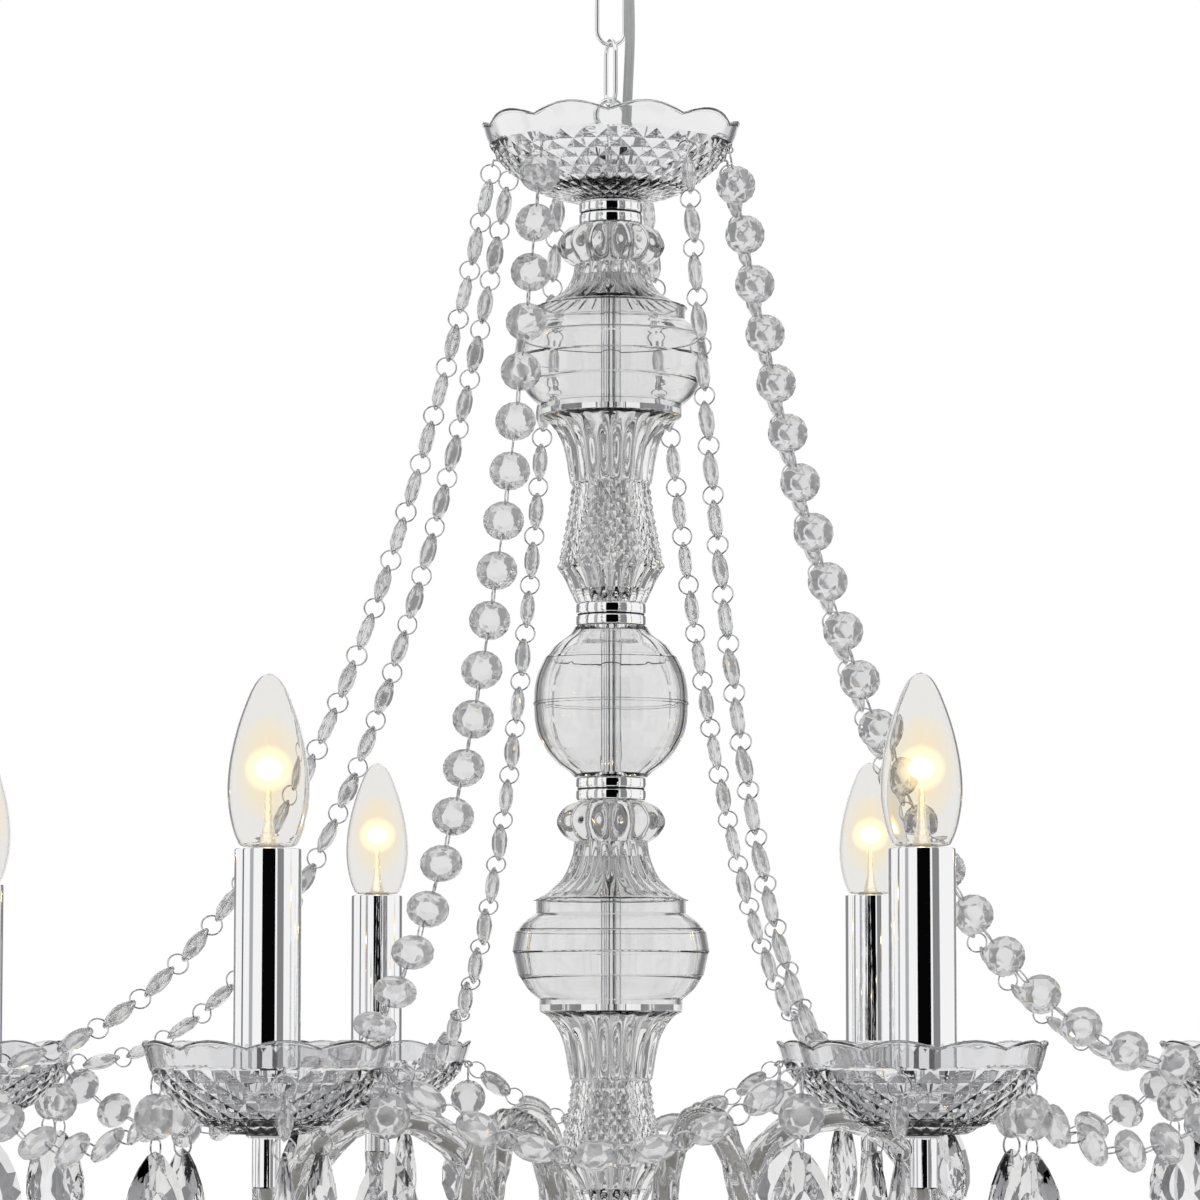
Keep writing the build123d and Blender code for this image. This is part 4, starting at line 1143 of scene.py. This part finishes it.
@dataclass
class Arm:
    """One twisted glass arm: over its arch, down into the trough and up to the lamp."""

    number: int
    inner: float = 69.0
    arch: float = 50.0
    trough: float = 95.0
    radius: float = 6.5
    bore: float = 3.5
    foot_below_end: float = 38.0
    arch_below_end: float = 25.0
    flutes: int = 6
    # one turn of the twist, and how deep the flutes are
    lead: float = 62.0
    depth: float = 1.5

    def path(self) -> np.ndarray:
        """Middle line of the arm in its own plane.

        Returns:
            N by 3 points, about 2.5 mm between them.
        """
        x, y = arm_end(self.number)
        reach = math.hypot(x, y)
        end = heights(f"arm_{self.number}")[0] + self.trough + self.radius
        first = np.array([self.inner + self.arch, end - self.arch_below_end])
        second = np.array([reach - self.trough, end])
        across = second - first
        slope = math.asin((self.arch + self.trough) / np.hypot(*across)) - math.atan2(
            across[1], across[0])
        bend = np.linspace(math.pi, math.pi / 2 - slope, 50)
        over = first + self.arch * np.stack([np.cos(bend), np.sin(bend)], 1)
        dip = np.linspace(-math.pi / 2 - slope, 0, 92)
        under = second + self.trough * np.stack([np.cos(dip), np.sin(dip)], 1)
        rise = np.linspace(end - self.foot_below_end, end - self.arch_below_end, 6)[:-1]
        leg = np.stack([np.full(5, self.inner), rise], 1)
        slide = np.linspace(over[-1], under[0], 24)[1:-1]
        flat = np.concatenate([leg, over, slide, under])
        way = np.array([x, y]) / reach
        return np.stack([flat[:, 0] * way[0], flat[:, 0] * way[1], flat[:, 1]], 1)

    def section(self, along: float, angles: np.ndarray) -> np.ndarray:
        """The twisted flutes.

        Args:
            along: distance along the arm.
            angles: where round the arm.

        Returns:
            The radius at each angle.
        """
        twist = TURN * along / self.lead
        wave = np.abs(np.cos(self.flutes * (angles + twist / 2) / 2))
        return self.radius - self.depth * (1 - wave)

    def dress(self) -> None:
        """Make the arm's glass."""
        x, y = arm_end(self.number)
        across = Vector((-y, x, 0)).normalized()
        mesh = tube_along(self.path(), self.section, 48, bore=self.bore, up=across)
        name = f"arm_{self.number}"
        piece(name + "_glass", mesh, ARM_GLASS, name)


@dataclass
class Lamp:
    """Drip pan, chrome cup and sleeve, and the candle bulb at the end of one arm."""

    number: int
    sleeve_radius: float = 14.5
    bulb_radius: float = 17.8
    cap_radius: float = 6.8
    cap_height: float = 22.0
    thread_pitch: float = 2.7
    cup_radius: float = 6.1
    wire_hole: float = 1.95
    seat_height: float = 16.0
    # the hot wire's half width, the zigzag's half height and depth, and its thickness
    coil_half: float = 3.6
    coil_rise: float = 1.8
    coil_depth: float = 0.6
    wire_radius: float = 0.28

    def turned(self, name: str, loop: Outline, sides: int, finish: Finish | Halo,
               node: Optional[str] = None, body: str = COLUMN) -> None:
        """A piece turned about the lamp's axis.

        Args:
            name: the piece's name.
            loop: (radius, height) points of one closed loop.
            sides: how many columns.
            finish: what it is made of.
            node: the CAD node that it stands for, or None.
            body: the CAD body that it rides on.
        """
        mesh = lathe(loop, sides, middle=(*arm_end(self.number), 0.0))
        piece(name, mesh, finish, node, body)

    def pan(self) -> None:
        """Petalled drip pan."""
        dish = Dish(radius=54.0, foot=18.5, bore=5.2, wall=2.6, floor=4.0, rise=3.2, count=25)
        x, y = arm_end(self.number)
        place = Matrix.Rotation(math.atan2(y, x), 4, "Z")
        place.translation = Vector((x, y, 0))
        dish.make(f"drip_pan_{self.number}", "drip_pans", place)

    def sleeve(self) -> None:
        """Chrome candle sleeve with a rolled top, and the seat and cup under it."""
        low, high = heights("candle_sleeves")
        r = self.sleeve_radius
        self.turned(f"candle_sleeve_{self.number}", [
            (r - 0.8, low), (r, low), (r, high - 0.7), (r - 0.15, high - 0.2), (r - 0.4, high),
            (r - 0.7, high - 0.15), (r - 0.8, high - 0.8)], 96, CHROME, "candle_sleeves")
        seat = low - self.seat_height
        side = curve_through([(12, seat), (10.2, seat + 3.5), (11.2, seat + 9),
                              (15.9, low - 0.3)], 6)
        self.turned(f"candle_seat_{self.number}", [
            (5.1, seat), *side, (15.9, low), (13.2, low), (8, seat + 10), (5.1, seat + 8)],
            72, CHROME, "arm_cups")
        foot = heights("arm_cups")[0]
        pan = heights("drip_pans")[0]
        r = self.cup_radius
        self.turned(f"arm_cup_{self.number}", [
            (self.wire_hole, foot), (r - 0.5, foot), (r, foot + 0.5), (r, pan - 2.2),
            (8.4, pan - 1.5), (8.9, pan - 0.8), (8.6, pan), (4.95, pan), (4.95, seat + 2.9),
            (self.wire_hole, seat + 2.9)], 72, CHROME, "arm_cups")

    def bulb(self) -> None:
        """Clear candle bulb: glass, cap, glass stem, coiled wire and its glow."""
        node = f"bulb_{self.number}"
        body = f"lamp_{self.number}"
        low, high = heights(node)
        z = low + self.cap_height
        h = high - z
        r = self.bulb_radius - 0.05
        # radii, and shares of the height
        rows = [(self.cap_radius, 0), (0.66 * r, 0.008), (0.76 * r, 0.04), (0.88 * r, 0.12),
                (0.97 * r, 0.23), (r, 0.34), (0.96 * r, 0.47), (0.87 * r, 0.59),
                (0.74 * r, 0.71), (0.58 * r, 0.82), (0.42 * r, 0.91), (0.27 * r, 0.965),
                (0.12 * r, 0.992), (0.3, 1)]
        outer = curve_through([(x, z + h * share) for x, share in rows], 4)
        inner = [(max(0.2, x - 0.6), min(y + 0.4 * (y < z + 3), high - 0.7)) for x, y in outer]
        self.turned(f"{node}_glass", outer + inner[::-1], 72, LAMP_GLASS, node, body)
        shell = self.cap_radius - 0.05
        thread = [(shell - 0.4 + 0.4 * math.sin(TURN * i / 6),
                   low + 4 + i * self.thread_pitch / 6) for i in range(36)]
        self.turned(f"{node}_cap", [
            (0.3, low), (3.2, low), (4.0, low + 1.6), (6.0, low + 3.6), *thread,
            (shell, z - 1.6), (shell, z), (0.3, z)], 48, LAMP_CAP, body=body)
        stem = curve_through([(4.2, z), (3.0, z + 6), (1.9, z + 12), (1.5, z + 0.34 * h)], 5)
        self.turned(f"{node}_stem", [(0.2, z), *stem, (0.2, z + 0.36 * h)], 24, STEM_GLASS,
                    body=body)
        self.filament(z, h)
        bend = np.linspace(-math.pi / 2 + 0.05, math.pi / 2 - 0.05, 17)
        for halo in HALOS:
            skin = [(r * halo.width * math.cos(a), z + 0.45 * h + r * halo.height * math.sin(a))
                    for a in bend]
            skin += [(0.1, skin[-1][1]), (0.1, skin[0][1])]
            self.turned(f"{node}_{halo.name}", skin, 32, halo, body=body)

    def filament(self, z: float, h: float) -> None:
        """Zigzag of hot wire between its two leads.

        Args:
            z: height of the cap's top.
            h: height of the glass above it.
        """
        x, y = arm_end(self.number)
        half = self.coil_half
        lead = z + 0.41 * h
        top = z + 0.46 * h
        zigzag = [(x - half + half * i / 3, y + self.coil_depth * (-1) ** i,
                   top + self.coil_rise * (-1) ** i) for i in range(7)]
        path = [(x - half, y, lead), *zigzag, (x + half, y, lead)]
        mesh = tube_along(np.array(path), plain(self.wire_radius), 8, up=Vector((0, 1, 0.03)))
        piece(f"bulb_{self.number}_filament", mesh, FILAMENT, body=f"lamp_{self.number}")

    def dress(self) -> None:
        """Make the whole lamp."""
        self.pan()
        self.sleeve()
        self.bulb()


# ---- trim -----------------------------------------------------------------------------


@dataclass
class Trim:
    """Beads, rings and drops, placed where the frame holds their solids."""

    bead: float = 10.0
    bead_half: float = 3.25
    ring: float = 5.0
    ring_wire: float = 0.45
    almond: float = 50.0
    almond_width: float = 29.0
    almond_half: float = 4.5
    # solids longer than these are almonds, beads and rings
    almond_from: float = 40.0
    bead_from: float = 15.0
    ring_from: float = 8.0

    def bead_mesh(self) -> Mesh:
        """Round cut bead facing Z.

        Returns:
            Points and faces of its table, stars and girdle on each side.
        """
        corners = []
        for side in (1, -1):
            for i in range(8):
                a = math.pi * i / 4
                corners.append((4.6 * math.cos(a), 4.6 * math.sin(a), side * self.bead_half))
                b = a + math.pi / 8
                corners.append((7.6 * math.cos(b), 7.6 * math.sin(b), side * 2.1))
            for i in range(16):
                a = math.pi * i / 8
                corners.append((self.bead * math.cos(a), self.bead * math.sin(a), side * 0.5))
        return hull(corners)

    def ring_mesh(self) -> Mesh:
        """Round wire ring facing Z.

        Returns:
            Points and faces.
        """
        a = np.linspace(0, TURN, 28, endpoint=False)
        path = np.stack([self.ring * np.cos(a), self.ring * np.sin(a), 0 * a], 1)
        return tube_along(path, plain(self.ring_wire), 8, closed=True, up=UP)

    def almond_mesh(self) -> Mesh:
        """Almond drop facing Z, its point along +X.

        Returns:
            Points and faces.
        """
        corners = []
        for side in (1, -1):
            # each row of corners: its size, its height and its start in steps
            for size, lift, start in ((1.0, 0.7, 0.0), (0.72, 0.62 * self.almond_half, 0.5),
                                      (0.4, self.almond_half, 0.0)):
                for i in range(16):
                    a = TURN * (i + start) / 16
                    long = math.cos(a)
                    swell = math.sin(a) * (1 - 0.28 * long - 0.10 * long * long)
                    shift = -0.06 * self.almond * (1 - size)
                    corners.append((size * 0.5 * self.almond * long * 0.995 + shift,
                                    size * 0.5 * self.almond_width * swell, side * lift))
        return hull(corners)

    def group(self, name: str, node: str, body: str = COLUMN) -> None:
        """Dress every bead, ring and almond among a node's solids.

        Args:
            name: what the new pieces' names start with.
            node: the CAD node of the solids.
            body: the CAD body that they ride on.
        """
        beads = []
        rings = []
        stones = []
        for solid in solids(node):
            if solid.length > self.almond_from:
                stones.append(moved(self.almond_mesh(), solid.upright()))
            elif solid.length > self.bead_from:
                beads.append(moved(self.bead_mesh(), solid.place()))
            elif solid.length > self.ring_from:
                rings.append(moved(self.ring_mesh(), solid.place()))
        for suffix, parts, finish, shade in (("beads", beads, BEAD_GLASS, Shade.FACETED),
                                             ("rings", rings, WIRE, Shade.SMOOTH),
                                             ("almonds", stones, CUT_GLASS, Shade.FACETED)):
            if parts:
                piece(f"{name}_{suffix}", joined(parts), finish, node, body, shade)
                LOG.info("%s_%s: %d of %s", name, suffix, len(parts), node)

    def dress(self) -> None:
        """Make all the trim."""
        self.group("strung", "beads")
        self.group("chain_of", "link_rings")
        self.group("hung", "almond_drops")
        for number in ARMS:
            self.group(f"outer_drop_{number}", f"outer_drop_{number}", f"drop_{number}")


# ---- suspension and ceiling -----------------------------------------------------------


@dataclass(frozen=True)
class Hoop:
    """Ring of the collar loop or of the top eye: its radius, its wire and its height."""

    ring: float
    wire: float
    z: float
    # how far its plane is turned from the front
    turn: float = math.radians(20.0)

    def mesh(self) -> Mesh:
        """The standing ring.

        Returns:
            Points and faces.
        """
        a = np.linspace(0, TURN, 40, endpoint=False)
        path = np.stack([self.ring * np.cos(a) * math.cos(self.turn),
                         self.ring * np.cos(a) * math.sin(self.turn),
                         self.z + self.ring * np.sin(a)], 1)
        return tube_along(path, plain(self.wire), 14, closed=True,
                          up=Vector((-math.sin(self.turn), math.cos(self.turn), 0)))


@dataclass
class Suspension:
    """Canopy, collar loop, chain links, top eye and the clear cable beside the chain."""

    link_wire: float = 1.15
    link_half_width: float = 7.35
    loop_ring: float = 8.25
    loop_wire: float = 1.75
    eye_ring: float = 8.0
    eye_wire: float = 1.5
    # height of the turned bases of collar loop and top eye
    loop_base: float = 10.0
    eye_base: float = 12.0
    cable: float = 2.5
    cable_x: float = 7.7
    cable_y: float = -4.9
    # the cable bends within this distance above and below each joint
    bend_reach: float = 8.0

    def links(self) -> None:
        """Oval chain links of drawn wire."""
        for number in (1, 2, 3):
            node = f"chain_link_{number}"
            solid = solids(node)[0]
            half = solid.length / 2 - self.link_wire
            bend = self.link_half_width
            top = [(half - bend + bend * math.sin(t), bend * math.cos(t))
                   for t in np.linspace(0, math.pi, 20)]
            low = [(-x, -y) for x, y in top]
            flat = np.array([(x, y, 0) for x, y in top + low])
            mesh = tube_along(flat, plain(self.link_wire), 14, closed=True, up=UP)
            piece(f"{node}_wire", moved(mesh, solid.place()), CHROME, node, f"link_{number}")

    def ends(self) -> None:
        """Collar loop under the canopy and eye on the column, each with its turned base."""
        low, high = heights("collar_loop")
        z = high - self.loop_base
        hoop = Hoop(self.loop_ring, self.loop_wire, low + self.loop_wire + self.loop_ring)
        piece("collar_loop_ring", hoop.mesh(), CHROME, "collar_loop", CEILING)
        base = [(0.1, z - 1.8), (2.8, z - 1.8), (2.8, z), (11.4, z), (12.6, z + 0.5),
                (12.95, z + 1.6), (12.95, high), (0.1, high)]
        piece("collar_loop_base", lathe(base, 72), CHROME, body=CEILING)
        low, high = heights("top_eye")
        z = low + self.eye_base
        hoop = Hoop(self.eye_ring, self.eye_wire, high - self.eye_wire - self.eye_ring)
        piece("top_eye_ring", hoop.mesh(), CHROME, "top_eye")
        base = [(0.1, low + 9), (5.02, low + 9), (5.02, low), (11, low), (12.95, low + 2),
                (12.95, z - 0.8), (12.3, z), (2.4, z), (2.4, z + 1.8), (0.1, z + 1.8)]
        piece("top_eye_base", lathe(base, 72), CHROME)

    def canopy(self) -> None:
        """Spun cup against the ceiling."""
        low, high = heights("canopy")
        outer = [(59.8, high), (59.8, high - 2), (58.6, high - 2.4)] + curve_through([
            (58.4, high - 3), (58.2, high - 13), (54.6, high - 24), (42, high - 36),
            (24, high - 47), (14.6, low + 0.1)], 6)
        inner = [(x - 1.1, z + 0.9) for x, z in reversed(outer[3:])]
        loop = outer + [(5.3, low), (5.3, low + 1)] + inner + [(58.4, high)]
        piece("canopy_cup", lathe(loop, 128), CHROME, "canopy", CEILING)

    def cable_line(self) -> np.ndarray:
        """The cable's middle line from the collar loop to the top eye.

        Returns:
            N by 3 points in millimetres.
        """
        top = heights("collar_loop")[1] - self.loop_base
        low = heights("top_eye")[0] + self.eye_base
        x = self.cable_x
        y = self.cable_y
        route = [(x, y, top), (x, y, top - 22), (x + 1.6, y - 0.9, top - 48),
                 (x + 2.4, y - 1.6, top - 74), (x + 1.2, y - 0.6, low + 24), (x, y, low)]
        line = bpy.data.curves.new("cable_route", "CURVE")
        line.dimensions = "3D"
        spline = line.splines.new("NURBS")
        spline.points.add(len(route) - 1)
        for point, here in zip(spline.points, route):
            point.co = (here[0] * MM, here[1] * MM, here[2] * MM, 1.0)
        spline.order_u = 3
        spline.use_endpoint_u = True
        spline.resolution_u = 24
        holder = linked("cable_route", line)
        bpy.context.view_layer.update()
        mesh = bpy.data.meshes.new_from_object(holder)
        path = np.array([v.co[:] for v in mesh.vertices]) / MM
        bpy.data.objects.remove(holder)
        return path

    def cord(self) -> None:
        """Clear cable in four lengths, each bending over one joint of the chain."""
        path = self.cable_line()
        # the three links' joints and the chandelier's own
        joints = [j for j in frame["joints"] if j["name"].startswith("cha")]
        bounds = np.linspace(path[0, 2], path[-1, 2], len(joints) + 1)
        for i, (joint, above, below) in enumerate(zip(joints, bounds, bounds[1:]), 1):
            start, end = (np.array([np.interp(-z, -path[:, 2], path[:, k]) for k in range(3)])
                          for z in (above, below))
            inside = [p for p in path if above - 0.3 > p[2] > below + 0.3]
            run = np.array([start, *inside, end])
            item = piece(f"supply_cable_{i}", tube_along(run, plain(self.cable), 20), CABLE,
                         body=None)
            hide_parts("supply_cable")
            z = joint["pos_m"][2]
            reach = self.bend_reach * MM
            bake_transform(item, joint["parent"], joint["child"], start=(0, 0, z + reach),
                     end=(0, 0, z - reach))

    def dress(self) -> None:
        """Make the suspension."""
        self.cord()
        self.links()
        self.ends()
        self.canopy()


def finish_kept_nodes() -> None:
    """Give the CAD pieces whose shape is right their real materials."""
    for node, finish in KEPT_NODES.items():
        item = frame["nodes"][node]
        item.data.materials.clear()
        item.data.materials.append(finish.material())


# ---- studio ---------------------------------------------------------------------------


def board(name: str, corners: Sequence[tuple[float, float, float]],
          paint: Skin) -> bpy.types.Object:
    """Flat board of the stage.

    Args:
        name: the board's name.
        corners: its four corners in metres.
        paint: what it shows.

    Returns:
        The new board, which isn't part of the chandelier.
    """
    mesh = bpy.data.meshes.new(name)
    mesh.from_pydata(corners, [], [(0, 1, 2, 3)])
    mesh.materials.append(paint.material())
    item = linked(name, mesh)
    return item


@dataclass(frozen=True)
class Card:
    """Card that faces the column, seen by the metal, by the glass or by both.

    Its azimuth is in degrees round the column from the front. The camera doesn't see it.
    """

    name: str
    colour: str
    azimuth: float
    width: float
    away: float = 3200.0
    height: float = 3400.0
    # height of its middle, and how far it lies back, in degrees
    z: float = -500.0
    lean: float = 0.0
    # whether reflections show it, and whether light bent through glass shows it
    metal: bool = True
    glass: bool = True

    def stand(self) -> None:
        """Set the card up."""
        w = self.width / 2 * MM
        h = self.height / 2 * MM
        card = board(self.name, [(-w, 0, -h), (w, 0, -h), (w, 0, h), (-w, 0, h)],
                     CardPaint(self.name + "_paint", self.colour))
        a = math.radians(self.azimuth)
        card.location = Vector((self.away * math.sin(a), -self.away * math.cos(a), self.z)) * MM
        card.rotation_euler = (math.radians(self.lean), 0, a)
        card.visible_camera = False
        card.visible_shadow = False
        card.visible_diffuse = False
        card.visible_glossy = self.metal
        card.visible_transmission = self.glass


CARDS = (
    Card("card_right", "8A8A8B", 44, 1300),
    Card("card_back_left", "8E8E90", -146, 1900),
    Card("card_back_right", "848486", 150, 1700),
    Card("card_left", "7C7C7D", -84, 420),
    Card("card_front_left", "B4B4B6", -50, 700),
    # the dark side of the room: a black stripe on the plating, dark facets in the stones
    Card("card_front", "060606", 5.5, 2400, glass=False),
    Card("card_front_low_left", "161617", -20, 900, away=3100, metal=False),
    Card("card_front_low_right", "161617", 27, 900, away=3100, metal=False),
    Card("card_below", "ABABAD", 0, 1700, away=0, height=1700, z=-1320, lean=90),
)


@dataclass
class Studio:
    """Camera at the photograph's place, white surround and dark cards that draw the glass."""

    distance: float = 2418.0
    lens: float = 145.08
    sensor: float = 36.0
    # all in degrees
    side_turn: float = 1.2
    tilt: float = 5.2
    pan: float = 0.13
    floor: float = -1500.0
    half_floor: float = 6000.0

    def camera(self) -> None:
        """Level with the drip pans' rims, looking a little up."""
        data = bpy.data.cameras.new("photo_camera")
        data.lens = self.lens
        data.sensor_width = self.sensor
        data.clip_end = 100.0
        camera = linked("photo_camera", data)
        turn = math.radians(self.side_turn)
        rim = heights("drip_pans")[1]
        camera.location = Vector((self.distance * math.sin(turn),
                                  -self.distance * math.cos(turn), rim)) * MM
        camera.rotation_euler = (math.radians(90 + self.tilt), 0, turn + math.radians(self.pan))
        bpy.context.scene.camera = camera

    def surround(self) -> None:
        """White surround, pale floor and the dark cards."""
        world = bpy.data.worlds.new("white_surround")
        bpy.context.scene.world = world
        world.use_nodes = True
        back = world.node_tree.nodes["Background"]
        back.inputs["Color"].default_value = linear("FFFFFF")
        back.inputs["Strength"].default_value = 1.0
        bpy.context.scene.view_settings.view_transform = "Standard"
        s = self.half_floor * MM
        z = self.floor * MM
        board("pale_floor", [(-s, -s, z), (s, -s, z), (s, s, z), (-s, s, z)],
              Finish("pale_matt_floor", "crystal", "F4F4F2", 0.9))
        for card in CARDS:
            card.stand()

    def dress(self) -> None:
        """Set the camera and the light."""
        self.camera()
        self.surround()


def main() -> None:
    """Build every sub-assembly in order; only the trim's groups are logged."""
    logging.basicConfig(level=logging.INFO)
    Studio().dress()
    Suspension().dress()
    Column().dress()
    for number in ARMS:
        Arm(number).dress()
        Lamp(number).dress()
    Trim().dress()
    finish_kept_nodes()


if __name__ == "__main__":
    main()
